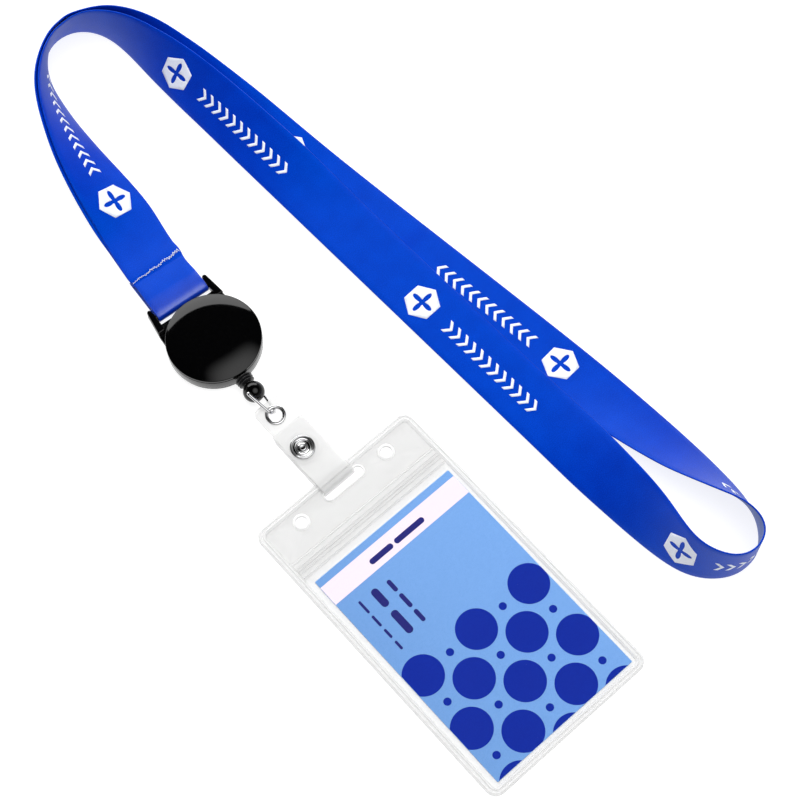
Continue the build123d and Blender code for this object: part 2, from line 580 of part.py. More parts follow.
# Ribbon fold round the bar: the upper tail runs down to the seam, the lower tail lies flat under it.
fold_side = Plane(origin=reel_plane.origin, x_dir=cord_direction, z_dir=reel_plane.x_dir)
with BuildPart() as ribbon_fold:
    with BuildSketch(fold_side):
        with BuildLine():
            fold_inner = BAR_RADIUS + RUNNING_FIT
            fold_outer = fold_inner + RIBBON_THICK
            seam_top = RIBBON_STRETCHES["ribbon_seam_leg"][0][2] + RIBBON_THICK / 2
            Line((TAIL_Y, BAR_Z - fold_outer), (BAR_Y, BAR_Z - fold_outer))
            ThreePointArc((BAR_Y, BAR_Z - fold_outer), (BAR_Y - fold_outer, BAR_Z), (BAR_Y, BAR_Z + fold_outer))
            Line((BAR_Y, BAR_Z + fold_outer), (SEAM_Y, seam_top))
            Line((SEAM_Y, seam_top), (SEAM_Y, seam_top - RIBBON_THICK))
            Line((SEAM_Y, seam_top - RIBBON_THICK), (BAR_Y, BAR_Z + fold_inner))
            ThreePointArc((BAR_Y, BAR_Z + fold_inner), (BAR_Y - fold_inner, BAR_Z), (BAR_Y, BAR_Z - fold_inner))
            Line((BAR_Y, BAR_Z - fold_inner), (TAIL_Y, BAR_Z - fold_inner))
            Line((TAIL_Y, BAR_Z - fold_inner), (TAIL_Y, BAR_Z - fold_outer))
        make_face()
    extrude(amount=RIBBON_WIDTH / 2, both=True)
save(ribbon_fold, "ribbon_fold")

with BuildPart() as seam_stitching:
    with BuildSketch(reel_plane.offset(seam_top + 0.2)):
        with BuildLine():
            stitch_count = int((RIBBON_WIDTH - 2) / STITCH_PITCH * 2)
            first_x = -stitch_count * STITCH_PITCH / 4
            Polyline(
                *[
                    (first_x + i * STITCH_PITCH / 2, SEAM_Y + 0.3 + STITCH_REACH * (-1) ** i)
                    for i in range(stitch_count + 1)
                ]
            )
        trace(line_width=STITCH_WIDTH)
    extrude(amount=STITCH_HEIGHT)
save(seam_stitching, "seam_stitching")
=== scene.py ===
import json
import random
from math import acos, ceil, cos, exp, pi, radians, sin, sqrt, tan

import bmesh
import bpy
from mathutils import Matrix, Vector


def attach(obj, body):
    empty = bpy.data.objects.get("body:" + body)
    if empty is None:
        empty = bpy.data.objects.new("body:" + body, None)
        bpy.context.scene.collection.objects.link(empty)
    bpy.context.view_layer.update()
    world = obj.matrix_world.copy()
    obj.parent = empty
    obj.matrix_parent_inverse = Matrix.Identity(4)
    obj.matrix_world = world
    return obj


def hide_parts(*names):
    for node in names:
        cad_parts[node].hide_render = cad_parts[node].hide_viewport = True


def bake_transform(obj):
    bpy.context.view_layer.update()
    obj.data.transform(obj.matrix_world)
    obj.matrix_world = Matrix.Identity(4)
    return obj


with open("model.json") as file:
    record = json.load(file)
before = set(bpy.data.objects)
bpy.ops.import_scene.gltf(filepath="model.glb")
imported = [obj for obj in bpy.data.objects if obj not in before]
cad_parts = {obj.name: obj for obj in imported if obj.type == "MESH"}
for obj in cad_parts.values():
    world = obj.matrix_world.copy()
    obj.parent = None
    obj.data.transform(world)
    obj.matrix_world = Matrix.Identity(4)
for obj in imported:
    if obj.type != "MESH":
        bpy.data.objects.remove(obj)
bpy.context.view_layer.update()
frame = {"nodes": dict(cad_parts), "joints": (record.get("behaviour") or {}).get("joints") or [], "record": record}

# A lanyard badge holder: printed neck ribbon, retractable reel, wire loop, vinyl snap strap and a clear
# zip-top holder with its card. Lengths are metres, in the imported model's frame; MM is a millimetre.
MM = 0.001
NODES = frame["nodes"]
JOINTS = {joint["name"]: joint for joint in frame["joints"]}
MOUNTS = {mount["name"]: mount for mount in frame["record"]["mounts"]}
random.seed(7)


# ======== Frames: x across, y up the badge, z up, for each group of pieces ========
def axes_matrix(origin, x_axis, y_axis, z_axis):
    """Matrix that takes local coordinates to the row frame."""
    columns = Matrix((x_axis, y_axis, z_axis)).transposed().to_4x4()
    return Matrix.Translation(origin) @ columns


reel_centre = Vector(JOINTS["spool_spin"]["pos_m"]) * Vector((1, 1, 0))
reel_up = -Vector(JOINTS["cord_pull"]["axis"])
reel_right = Vector(JOINTS["ribbon_swing"]["axis"])
REEL = axes_matrix(reel_centre, reel_right, reel_up, Vector((0, 0, 1)))

ball_centre = Vector(JOINTS["ball_swivel"]["pos_m"])
strap_across = Vector(JOINTS["flap_open"]["axis"])
strap_normal = Vector(JOINTS["strap_swing"]["axis"])
strap_up = strap_normal.cross(strap_across)
eyelet_centre = Vector(JOINTS["strap_swing"]["pos_m"])
EYELET_ALONG = 29.85 * MM
VINYL = 0.6 * MM
strap_origin = eyelet_centre - strap_up * EYELET_ALONG - strap_normal * (VINYL / 2)
STRAP = axes_matrix(strap_origin, strap_across, strap_up, strap_normal)

holder_normal = Vector(MOUNTS["hole_left"]["axis"])
holder_up = holder_normal.cross(Vector((1, 0, 0)))
hole_left, hole_right = (Vector(MOUNTS[name]["pos_m"]) for name in ("hole_left", "hole_right"))
HOLE_ALONG, HOLE_LEVEL, HOLE_SHIFT = 60.2 * MM, 0.65 * MM, -0.5 * MM
holder_origin = (hole_left + hole_right) / 2 - holder_up * HOLE_ALONG - holder_normal * HOLE_LEVEL
HOLDER = axes_matrix(holder_origin - Vector((HOLE_SHIFT, 0, 0)), Vector((1, 0, 0)), holder_up, holder_normal)

loop_across = Vector(JOINTS["wire_swing"]["axis"])
loop_down = -strap_up
LOOP = axes_matrix(ball_centre, loop_across, loop_down, loop_across.cross(loop_down))


# ======== Materials ========
RIBBON_DARK, RIBBON_LIGHT = (0.0, 0.014, 0.32), (0.0, 0.045, 0.57)
BACK_DARK, BACK_LIGHT = (0.03, 0.075, 0.34), (0.05, 0.11, 0.44)
SKY_DARK, SKY_LIGHT = (0.14, 0.31, 0.65), (0.18, 0.36, 0.72)
PINK_DARK, PINK_LIGHT = (0.82, 0.70, 0.80), (0.89, 0.77, 0.87)
NAVY_DARK, NAVY_LIGHT = (0.0, 0.014, 0.27), (0.0, 0.02, 0.32)
INK_DARK, INK_LIGHT = (0.01, 0.012, 0.13), (0.02, 0.02, 0.18)
STEEL = (0.84, 0.84, 0.85)
THREADS = 40                # weave threads per ribbon width
# Satin's shine at the bar, and where it fades, in ribbon widths from the cut end.
SHINE, SHINE_END = 0.75, (1.2, 1.4)


class Paint:
    """A Principled material with the nodes that feed its shader."""

    def __init__(self, name, colour, roughness):
        self.material = bpy.data.materials.new(name)
        self.material.use_nodes = True
        self.nodes, self.links = self.material.node_tree.nodes, self.material.node_tree.links
        self.shader = self.nodes["Principled BSDF"]
        self.set("Base Color", (*colour, 1))
        self.set("Roughness", roughness)

    def set(self, socket, value):
        self.shader.inputs[socket].default_value = value

    def feed(self, socket, output):
        self.links.new(output, self.shader.inputs[socket])

    def place(self):
        """Object coordinates."""
        return self.nodes.new("ShaderNodeTexCoord").outputs["Object"]

    def noise(self, vector, scale, detail=3.0):
        noise = self.nodes.new("ShaderNodeTexNoise")
        noise.inputs["Scale"].default_value = scale
        noise.inputs["Detail"].default_value = detail
        self.links.new(vector, noise.inputs["Vector"])
        return noise.outputs["Fac"]

    def mapped(self, value, low, high, start=0.0, end=1.0):
        """value, from start to end, remapped to low..high."""
        remap = self.nodes.new("ShaderNodeMapRange")
        remap.inputs["From Min"].default_value, remap.inputs["From Max"].default_value = start, end
        remap.inputs["To Min"].default_value, remap.inputs["To Max"].default_value = low, high
        self.links.new(value, remap.inputs["Value"])
        return remap.outputs[0]

    def math(self, operation, first, second=0.0):
        node = self.nodes.new("ShaderNodeMath")
        node.operation = operation
        for socket, value in zip(node.inputs, (first, second)):
            if isinstance(value, (int, float)):
                socket.default_value = value
            else:
                self.links.new(value, socket)
        return node.outputs[0]

    def colour(self, factor, dark, light):
        mix = self.nodes.new("ShaderNodeMix")
        mix.data_type = "RGBA"
        mix.inputs["A"].default_value = (*dark, 1)
        mix.inputs["B"].default_value = (*light, 1)
        self.links.new(factor, mix.inputs["Factor"])
        self.feed("Base Color", mix.outputs["Result"])

    def bump(self, height, strength, distance):
        bump = self.nodes.new("ShaderNodeBump")
        bump.inputs["Strength"].default_value = strength
        bump.inputs["Distance"].default_value = distance
        self.links.new(height, bump.inputs["Height"])
        self.feed("Normal", bump.outputs[0])


def shade(colour, share):
    return tuple(part * share for part in colour)


def ribbon_material(name, dark, light):
    """Satin woven ribbon: ribs across, warp along, uneven dye, and shiny where it bends round the bar."""
    paint = Paint(name, dark, 0.48)
    coordinates = paint.nodes.new("ShaderNodeTexCoord").outputs["UV"]
    split = paint.nodes.new("ShaderNodeSeparateXYZ")
    paint.links.new(coordinates, split.inputs[0])
    across, along = split.outputs["X"], split.outputs["Y"]
    turns = 2 * pi * THREADS
    ribs, warp = (paint.math("SINE", paint.math("MULTIPLY", way, turns)) for way in (along, across))
    weave = paint.math("MULTIPLY", ribs, warp)
    fuzz = paint.noise(coordinates, 60.0, 4.0)
    patches = paint.noise(coordinates, 2.5, 2.0)
    tone = paint.math("ADD", paint.math("MULTIPLY", fuzz, 0.8), paint.math("MULTIPLY", patches, 0.2))
    paint.colour(paint.mapped(tone, -0.8, 1.8), dark, light)
    paint.bump(paint.math("ADD", paint.math("MULTIPLY", weave, 0.5), fuzz), 0.35, 0.00006)
    paint.feed("Roughness", paint.mapped(fuzz, 0.40, 0.58))
    paint.set("Specular IOR Level", 0.9)
    paint.set("Specular Tint", (0.0, 0.33, 1.0, 1))
    paint.feed("Coat Weight", paint.mapped(along, SHINE, 0.0, *SHINE_END))
    paint.set("Coat Roughness", 0.26)
    paint.set("Coat IOR", 2.0)
    return paint.material


def thread_material(name, colour):
    paint = Paint(name, colour, 0.7)
    strands = paint.noise(paint.place(), 2500.0)
    paint.colour(strands, shade(colour, 0.72), colour)
    paint.bump(strands, 0.4, 0.00005)
    paint.set("Sheen Weight", 0.3)
    return paint.material


def gloss_black_material(name, roughness, polish):
    """Moulded black plastic with a faint waviness and light handling marks."""
    paint = Paint(name, (0.001, 0.001, 0.0011), roughness)
    place = paint.place()
    wave = paint.noise(place, 120.0, 1.0)
    marks = paint.noise(place, 900.0, 5.0)
    paint.feed("Roughness", paint.mapped(marks, roughness * 0.7, roughness * 1.5))
    paint.bump(wave, polish, 0.00003)
    paint.set("Specular IOR Level", 0.35)
    paint.colour(marks, (0.0005, 0.0005, 0.0006), (0.0016, 0.0016, 0.0018))
    return paint.material


def rubber_material(name):
    paint = Paint(name, (0.012, 0.012, 0.013), 0.35)
    grain = paint.noise(paint.place(), 1800.0)
    paint.feed("Roughness", paint.mapped(grain, 0.26, 0.46))
    paint.colour(grain, (0.008, 0.008, 0.009), (0.02, 0.02, 0.021))
    paint.bump(grain, 0.15, 0.00003)
    return paint.material


def steel_material(name, colour, roughness):
    """Plated steel: fine turning or drawing marks, with a little tarnish in patches."""
    paint = Paint(name, colour, roughness)
    paint.set("Metallic", 1.0)
    place = paint.place()
    marks = paint.noise(place, 1500.0, 4.0)
    tarnish = paint.noise(place, 220.0, 2.0)
    paint.feed("Roughness", paint.mapped(marks, roughness * 0.6, roughness * 1.7))
    paint.colour(tarnish, shade(colour, 0.78), colour)
    paint.bump(marks, 0.08, 0.00002)
    return paint.material


def vinyl_material(name, colour, alpha, roughness, ripple):
    """Clear flexible sheet, slightly milky, with the soft ripple that such sheet has."""
    paint = Paint(name, colour, roughness)
    place = paint.place()
    cloud = paint.noise(place, 60.0, 2.0)
    wave = paint.noise(place, 90.0, 1.0)
    paint.feed("Alpha", paint.mapped(cloud, alpha * 0.8, alpha * 1.2))
    paint.feed("Roughness", paint.mapped(cloud, roughness * 0.8, roughness * 1.3))
    paint.colour(cloud, shade(colour, 0.96), colour)
    paint.bump(wave, ripple, 0.0006)
    paint.set("Specular IOR Level", 0.2)
    return paint.material


def white_plastic_material(name):
    paint = Paint(name, (0.8, 0.8, 0.78), 0.45)
    grain = paint.noise(paint.place(), 700.0)
    paint.colour(grain, (0.72, 0.72, 0.70), (0.85, 0.85, 0.83))
    paint.bump(grain, 0.1, 0.00003)
    return paint.material


def paper_material(name, dark, light):
    """Printed card stock: a faint paper grain in colour and surface."""
    paint = Paint(name, light, 0.5)
    grain = paint.noise(paint.place(), 1400.0, 4.0)
    paint.colour(grain, dark, light)
    paint.bump(grain, 0.06, 0.00002)
    paint.set("Specular IOR Level", 0.06)
    return paint.material


def white_ink_material(name):
    """Opaque white print that lets a little of the ribbon's weave show."""
    paint = Paint(name, (0.83, 0.86, 0.93), 0.55)
    weave = paint.noise(paint.place(), 1600.0, 3.0)
    paint.colour(weave, (0.70, 0.75, 0.88), (0.88, 0.90, 0.96))
    paint.bump(weave, 0.2, 0.00004)
    return paint.material


# ======== Camera, light and floor ========
def linked(name, data):
    """A new object in the scene."""
    item = bpy.data.objects.new(name, data)
    bpy.context.scene.collection.objects.link(item)
    return item


CAMERA_PLACE = Vector((-0.1670, -0.2451, 0.6295))
CAMERA_RIGHT = Vector((0.7476, -0.6639, -0.0198))
CAMERA_UP = Vector((0.6160, 0.6819, 0.3944))
LENS = 94.05


def make_camera():
    data = bpy.data.cameras.new("camera")
    data.lens = LENS
    data.sensor_width = 36
    data.clip_start = 0.01
    data.clip_end = 20
    camera = linked("camera", data)
    backwards = CAMERA_RIGHT.cross(CAMERA_UP)
    camera.matrix_world = axes_matrix(CAMERA_PLACE, CAMERA_RIGHT, CAMERA_UP, backwards)
    bpy.context.scene.camera = camera


def add_light(name, place, target, size, power, in_reflections):
    data = bpy.data.lights.new(name, "AREA")
    data.shape = "RECTANGLE"
    data.size, data.size_y = size
    data.energy = power
    light = linked(name, data)
    light.location = place
    light.rotation_euler = (Vector(target) - Vector(place)).to_track_quat("-Z", "Y").to_euler()
    light.visible_glossy = in_reflections


SPOT_DIRECTION = Vector((0.12, -0.38, 0.92)).normalized()
HORIZON, SPOT = 0.40, 1.9       # strength of the grey horizon and of the bright patch


def make_world():
    """A studio that is grey round the horizon and dark overhead, but for one soft bright patch."""
    world = bpy.data.worlds.new("studio")
    world.use_nodes = True
    nodes, links = world.node_tree.nodes, world.node_tree.links
    background = nodes["Background"]
    background.inputs["Color"].default_value = (1, 1, 1, 1)
    coordinates = nodes.new("ShaderNodeTexCoord")
    split = nodes.new("ShaderNodeSeparateXYZ")
    links.new(coordinates.outputs["Generated"], split.inputs[0])
    toward = nodes.new("ShaderNodeVectorMath")
    toward.operation = "DOT_PRODUCT"
    toward.inputs[1].default_value = SPOT_DIRECTION
    links.new(coordinates.outputs["Generated"], toward.inputs[0])
    shades = []
    for value, stops in (
        (split.outputs["Z"], ((0.10, HORIZON), (0.55, 0.0))),
        (toward.outputs["Value"], ((cos(radians(34)), 0.0), (cos(radians(6)), SPOT))),
    ):
        ramp = nodes.new("ShaderNodeMapRange")
        ramp.interpolation_type = "SMOOTHSTEP"
        ramp.inputs["From Min"].default_value, ramp.inputs["To Min"].default_value = stops[0]
        ramp.inputs["From Max"].default_value, ramp.inputs["To Max"].default_value = stops[1]
        links.new(value, ramp.inputs["Value"])
        shades.append(ramp.outputs[0])
    total = nodes.new("ShaderNodeMath")
    total.operation = "ADD"
    for part, socket in zip(shades, total.inputs):
        links.new(part, socket)
    links.new(total.outputs[0], background.inputs["Strength"])
    bpy.context.scene.world = world


FLOOR_HALF = 8


def make_floor():
    mesh = bpy.data.meshes.new("floor")
    corners = [(x * FLOOR_HALF, y * FLOOR_HALF, 0) for x, y in ((-1, -1), (1, -1), (1, 1), (-1, 1))]
    mesh.from_pydata(corners, [], [(0, 1, 2, 3)])
    paint = Paint("floor_white", (0.3, 0.3, 0.3), 0.8)
    paint.set("Emission Color", (1, 1, 1, 1))
    paint.set("Emission Strength", 0.84)
    mesh.materials.append(paint.material)
    linked("floor", mesh)


# ======== Mesh tools ========
def finish_piece(piece, material, body, sharp=None):
    """Give a piece its material and body, and smooth shading but for edges over sharp degrees."""
    piece.data.materials.append(material)
    piece.data.shade_smooth()
    if sharp is not None:
        piece.data.set_sharp_from_angle(angle=radians(sharp))
    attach(piece, body)
    return piece


def mesh_object(name, points, faces, place=None):
    mesh = bpy.data.meshes.new(name)
    world = points if place is None else [place @ Vector(point) for point in points]
    mesh.from_pydata([tuple(point) for point in world], [], faces)
    mesh.update()
    return linked(name, mesh)


def softened(points, radius, steps=4, closed=True):
    """A polyline with each corner replaced by a short curve that starts radius, or its own radius, away."""
    result = []
    count = len(points)
    radii = radius if isinstance(radius, list) else [radius] * count
    for index, corner in enumerate(points):
        corner = Vector(corner)
        if radii[index] == 0 or not closed and index in (0, count - 1):
            result.append(corner)
            continue
        sides = [Vector(points[index - 1]) - corner, Vector(points[(index + 1) % count]) - corner]
        start, end = (corner + side.normalized() * min(radii[index], side.length * 0.45) for side in sides)
        for step in range(steps + 1):
            t = step / steps
            result.append(start * (1 - t) ** 2 + corner * 2 * t * (1 - t) + end * t * t)
    return result


def closed_sweep(name, rows, place):
    """A closed surface over rows of points, where the last row and the last point join the first ones."""
    count = len(rows[0])
    faces = []
    for row in range(len(rows)):
        following = (row + 1) % len(rows)
        for step in range(count):
            nearby = (step + 1) % count
            faces.append((row * count + step, following * count + step,
                          following * count + nearby, row * count + nearby))
    piece = mesh_object(name, [point for row in rows for point in row], faces, place)
    clean_mesh(piece)
    return piece


def turned(name, profile, place, segments=96):
    """Revolve a closed profile of (radius, height) points about the local z axis of place."""
    rows = []
    for segment in range(segments):
        angle = 2 * pi * segment / segments
        rows.append([(r * cos(angle), r * sin(angle), h) for r, h in profile])
    return closed_sweep(name, rows, place)


def clean_mesh(piece):
    """Merge doubled points, such as those on a turned piece's axis, and face the surface outwards."""
    work = bmesh.new()
    work.from_mesh(piece.data)
    bmesh.ops.remove_doubles(work, verts=work.verts, dist=1e-7)
    bmesh.ops.dissolve_degenerate(work, edges=work.edges, dist=1e-8)
    bmesh.ops.recalc_face_normals(work, faces=work.faces)
    work.to_mesh(piece.data)
    work.free()


def rounded_rectangle(centre, width, height, radius, steps=10):
    """Points round a rectangle with rounded corners, anticlockwise from the right side's foot."""
    points = []
    for corner_x, corner_y, start in ((1, 1, 0), (-1, 1, 90), (-1, -1, 180), (1, -1, 270)):
        middle_x = centre[0] + corner_x * (width / 2 - radius)
        middle_y = centre[1] + corner_y * (height / 2 - radius)
        for step in range(steps + 1):
            angle = radians(start + 90 * step / steps)
            points.append((middle_x + radius * cos(angle), middle_y + radius * sin(angle)))
    return points


def swept_rim(name, centre, width, height, corner, profile, place):
    """Sweep a closed profile of (outset, height) points round a rounded rectangle."""
    rings = []
    for outset, level in profile:
        radius = max(corner + outset, 0.1 * MM)
        outline = rounded_rectangle(centre, width + 2 * outset, height + 2 * outset, radius, 12)
        rings.append([(x, y, level) for x, y in outline])
    return closed_sweep(name, list(zip(*rings)), place)


def tube(name, path, radius, sides=12, capped=True):
    """A round tube along a list of points in the row frame."""
    points, faces = [], []
    normal = None
    for index, here in enumerate(path):
        before, after = path[max(index - 1, 0)], path[min(index + 1, len(path) - 1)]
        run = (after - before).normalized()
        if normal is None:
            normal = run.orthogonal().normalized()
        normal = (normal - run * normal.dot(run)).normalized()
        side = run.cross(normal)
        for step in range(sides):
            angle = 2 * pi * step / sides
            points.append(here + (normal * cos(angle) + side * sin(angle)) * radius)
    for index in range(len(path) - 1):
        for step in range(sides):
            following = (step + 1) % sides
            faces.append((index * sides + step, index * sides + following,
                          (index + 1) * sides + following, (index + 1) * sides + step))
    if capped:
        faces.append(tuple(reversed(range(sides))))
        faces.append(tuple(range((len(path) - 1) * sides, len(path) * sides)))
    return mesh_object(name, points, faces)


INK_THICK = 0.02 * MM


def thickened(piece):
    """Give a flat print the thickness of its ink."""
    piece.modifiers.new("ink", "SOLIDIFY").thickness = INK_THICK
    return piece


# ======== Neck ribbon: one printed sheet that runs from the seam round the neck and back ========
RIBBON_WIDTH, RIBBON_THICK = 20 * MM, 0.6 * MM
SAMPLE_GAP = 1.5 * MM
# Each station: centre x and y and height of the lower edge, in mm, and lean in degrees. Positive lean raises
# the edge to the left of the direction of travel. The stations are those of the CAD.
RIBBON_ROUTE = [
    # seam leg
    (-26.1, 56, 1.75, 0), (-25.7, 61, 1.75, 0), (-24.2, 69, 1.4, 0), (-22.5, 77, 1.3, 2),
    (-21.8, 84.7, 1.2, 13), (-21.1, 92.4, 1.2, 24), (-20.1, 100.2, 1.1, 35), (-18.8, 108.3, 1, 45),
    (-16.9, 116.4, 0.9, 56),
    # left turn
    (-14.6, 124.5, 0.7, 66), (-11.2, 132.6, 0.6, 79), (-6.2, 139.9, 0.5, 97), (-1.3, 144.8, 0.5, 108),
    (3.6, 147.1, 0.5, 112), (9.4, 146.9, 0.5, 111), (15, 143.4, 0.5, 103), (19.2, 137.5, 0.5, 92),
    (22.3, 129.6, 0.6, 78), (23.9, 121.2, 0.7, 67),
    # upper leg
    (25.2, 113.1, 0.8, 57), (26.3, 105.2, 0.9, 49), (27.1, 97.3, 1, 43), (28.1, 85.5, 1.1, 37),
    (28.9, 73.6, 1.1, 31), (29.7, 61.7, 1.1, 25), (30.7, 49.8, 1.1, 14), (31.3, 33.8, 1, 5),
    (32.1, 1.7, 1, 4), (33.1, -38.4, 1, 4), (33.7, -62.4, 0.9, 6), (33.9, -74.4, 0.8, 11),
    # right turn
    (33.8, -82.3, 0.8, 17), (33.6, -90.2, 0.7, 23), (33.3, -98.1, 0.6, 31), (33.2, -105.9, 0.6, 37),
    (33, -113.8, 0.5, 44), (32.6, -121.8, 0.5, 53), (32, -129.8, 0.5, 64), (32.2, -137.3, 0.5, 73),
    (34.6, -144.1, 0.5, 81), (39.9, -150.1, 0.5, 90), (45.6, -151.7, 0.5, 93), (51.2, -150.7, 0.5, 91),
    (55.2, -147.2, 0.5, 86), (57.4, -141.3, 0.5, 76), (58, -134.8, 0.5, 65), (57, -126.5, 0.5, 54),
    (55.9, -118.6, 0.5, 44), (54.8, -110.8, 0.5, 35), (54, -103, 0.5, 28),
    # lower leg
    (52.7, -91.3, 0.5, 19), (51.3, -75.6, 0.5, 8), (49.4, -55.9, 0.4, 1), (44.9, -16.3, 0.4, 0),
    (42.1, 7.7, 0.4, 0), (39.4, 31.7, 0.4, 0), (36.9, 49.7, 0.4, -5), (34.8, 65.7, 0.4, -12),
    # outer turn
    (32.8, 81.7, 0.4, -22), (31.6, 89.7, 0.4, -27), (30.5, 97.4, 0.4, -32), (29.4, 105.2, 0.4, -38),
    (28, 113.1, 0.4, -46), (26.9, 121.1, 0.4, -56), (24.8, 129.6, 0.4, -71), (21.2, 137.9, 0.4, -88),
    (15.9, 144, 0.5, -104), (9.9, 148.6, 0.5, -111), (3.3, 148.8, 0.5, -113), (-2.3, 145.7, 0.5, -108),
    (-7.4, 140.3, 0.4, -96),
    # outer leg
    (-12.5, 132.9, 0.4, -78), (-15.7, 124.7, 0.4, -65), (-18, 116.5, 0.4, -55), (-19.9, 108.3, 0.4, -44),
    (-21.3, 100.3, 0.4, -34), (-22.2, 92.4, 0.4, -23), (-23, 84.4, 0.4, -12), (-23.6, 77.1, 0.4, -1),
    (-24.4, 68.7, 0.4, 0), (-25.8, 60.2, 1.05, 0), (-26.2, 55, 1.05, 0),
]
BAR_Y, BAR_Z, BAR_RADIUS = 19.85 * MM, 1.9 * MM, 1.2 * MM
FOLD_RADIUS = BAR_RADIUS + 0.05 * MM + RIBBON_THICK / 2
# Slope where the fold leaves the bar, and the share of the stretch in which it fades.
FOLD_LEAN, CREST_SHARE = radians(20), 0.2
TAIL_Y = 36.6 * MM
SEAM_STEP, SEAM_FADE = 0.55 * MM, 5 * MM


def bent_line(stations, gap):
    """Points along a smooth line (a cubic B-spline) that starts and ends on the first and last station."""
    rows = [Vector(station) for station in stations]
    rows = [rows[0] * 2 - rows[1]] + rows + [rows[-1] * 2 - rows[-2]]
    points = []
    for index in range(1, len(rows) - 2):
        p0, p1, p2, p3 = rows[index - 1:index + 3]
        steps = ceil((p2.xy - p1.xy).length / gap)
        for step in range(steps):
            t = step / steps
            second, third = 3 * t**3 - 6 * t**2 + 4, -3 * t**3 + 3 * t**2 + 3 * t + 1
            points.append((p0 * (1 - t) ** 3 + p1 * second + p2 * third + p3 * t**3) / 6)
    points.append(rows[-2])
    return points


def fold_samples():
    """Centres of the tail, the turn round the bar and the stretch up to the seam, in the reel's frame."""
    steps = 18
    low = BAR_Z - FOLD_RADIUS
    seam_x, seam_y, seam_z = REEL.inverted() @ (Vector(RIBBON_ROUTE[0][:3]) * MM)
    points = [(0, TAIL_Y + (BAR_Y - TAIL_Y) * step / steps, low) for step in range(steps)]
    for step in range(steps + 1):
        angle = (pi - FOLD_LEAN) * step / steps
        points.append((0, BAR_Y - FOLD_RADIUS * sin(angle), BAR_Z - FOLD_RADIUS * cos(angle)))
    _, start_y, start_z = points[-1]
    length = seam_y - start_y
    crest = tan(FOLD_LEAN) * CREST_SHARE * length
    for step in range(1, steps):
        t = step / steps
        rise = crest * (1 - exp(-t / CREST_SHARE)) * (1 - t) ** 2
        points.append((seam_x * t * t, start_y + length * t, start_z + (seam_z - start_z) * t * t + rise))
    return [(REEL @ Vector(point), -reel_right) for point in points]


def leg_samples():
    """Centres and across directions past the seam, which starts with the step of the overlap."""
    line = bent_line([(x * MM, y * MM, lift * MM, lean) for x, y, lift, lean in RIBBON_ROUTE], SAMPLE_GAP)
    samples = []
    along = 0
    for index, (x, y, lift, lean) in enumerate(line):
        before, after = line[max(index - 1, 0)], line[min(index + 1, len(line) - 1)]
        run = (after - before).xy.normalized()
        if index:
            along += (line[index] - before).xy.length
        step = SEAM_STEP * exp(-(along / SEAM_FADE) ** 2)
        tilt = radians(lean)
        across = Vector((-run.y * cos(tilt), run.x * cos(tilt), sin(tilt)))
        centre = Vector((x, y, lift + abs(sin(tilt)) * RIBBON_WIDTH / 2 + step))
        samples.append((centre, across))
    return samples


def measured(samples):
    """Add to each sample the distance along and the face direction: (centre, across, normal, along)."""
    result = []
    along = 0
    for index, (centre, across) in enumerate(samples):
        before, after = samples[max(index - 1, 0)][0], samples[min(index + 1, len(samples) - 1)][0]
        run = (after - before).normalized()
        normal = run.cross(across).normalized()
        if index:
            along += (centre - before).length
        result.append((centre, normal.cross(run), normal, along))
    return result


def band(name, samples, width, thickness, across_steps=10, edge_steps=4, widths=None, two_sided=False):
    """A closed sheet that follows the samples, with rounded edges, and UVs in widths: (across, along).

    A two-sided sheet's underside takes the second material.
    """
    half, radius = width / 2 - thickness / 2, thickness / 2
    ring = [(-half + 2 * half * step / across_steps, radius) for step in range(across_steps + 1)]
    ring += [(half + radius * sin(pi * step / edge_steps), radius * cos(pi * step / edge_steps))
             for step in range(1, edge_steps)]
    ring += [(half - 2 * half * step / across_steps, -radius) for step in range(across_steps + 1)]
    ring += [(-half - radius * sin(pi * step / edge_steps), -radius * cos(pi * step / edge_steps))
             for step in range(1, edge_steps)]
    count = len(ring)
    points, faces, uvs = [], [], []
    for index, (centre, across, normal, along) in enumerate(samples):
        share = 1 if widths is None else widths(along)
        points += [centre + across * u * share + normal * h for u, h in ring]
    for index in range(len(samples) - 1):
        low, high = samples[index][3] / width, samples[index + 1][3] / width
        for step in range(count):
            following = (step + 1) % count
            faces.append((index * count + step, (index + 1) * count + step,
                          (index + 1) * count + following, index * count + following))
            left, right = ring[step][0] / width + 0.5, ring[following][0] / width + 0.5
            uvs += [(left, low), (left, high), (right, high), (right, low)]
    last = (len(samples) - 1) * count
    faces += [tuple(range(count)), tuple(last + step for step in reversed(range(count)))]
    for end in (0, samples[-1][3] / width):
        uvs += [(u / width + 0.5, end) for u, _ in ring]
    piece = mesh_object(name, points, faces)
    layer = piece.data.uv_layers.new(name="UVMap")
    for corner, uv in zip(layer.data, uvs):
        corner.uv = uv
    bottom_first = across_steps + edge_steps
    for polygon in piece.data.polygons[:last if two_sided else 0]:
        under = bottom_first <= polygon.index % count < bottom_first + across_steps
        polygon.material_index = 1 if under else 0
    return piece


fold = fold_samples()
ribbon_samples = measured(fold + leg_samples())
SEAM_ALONG = ribbon_samples[len(fold)][3]


def on_ribbon(along, across, height):
    """Point on the ribbon: along from the seam, across to the left of travel, height above the middle."""
    target = SEAM_ALONG + along
    low, high = 0, len(ribbon_samples) - 1
    while high - low > 1:
        middle = (low + high) // 2
        if ribbon_samples[middle][3] <= target:
            low = middle
        else:
            high = middle
    first, second = ribbon_samples[low], ribbon_samples[high]
    t = (target - first[3]) / (second[3] - first[3])
    centre, side, normal = (first[part].lerp(second[part], t) for part in range(3))
    return centre + side * across + normal * height


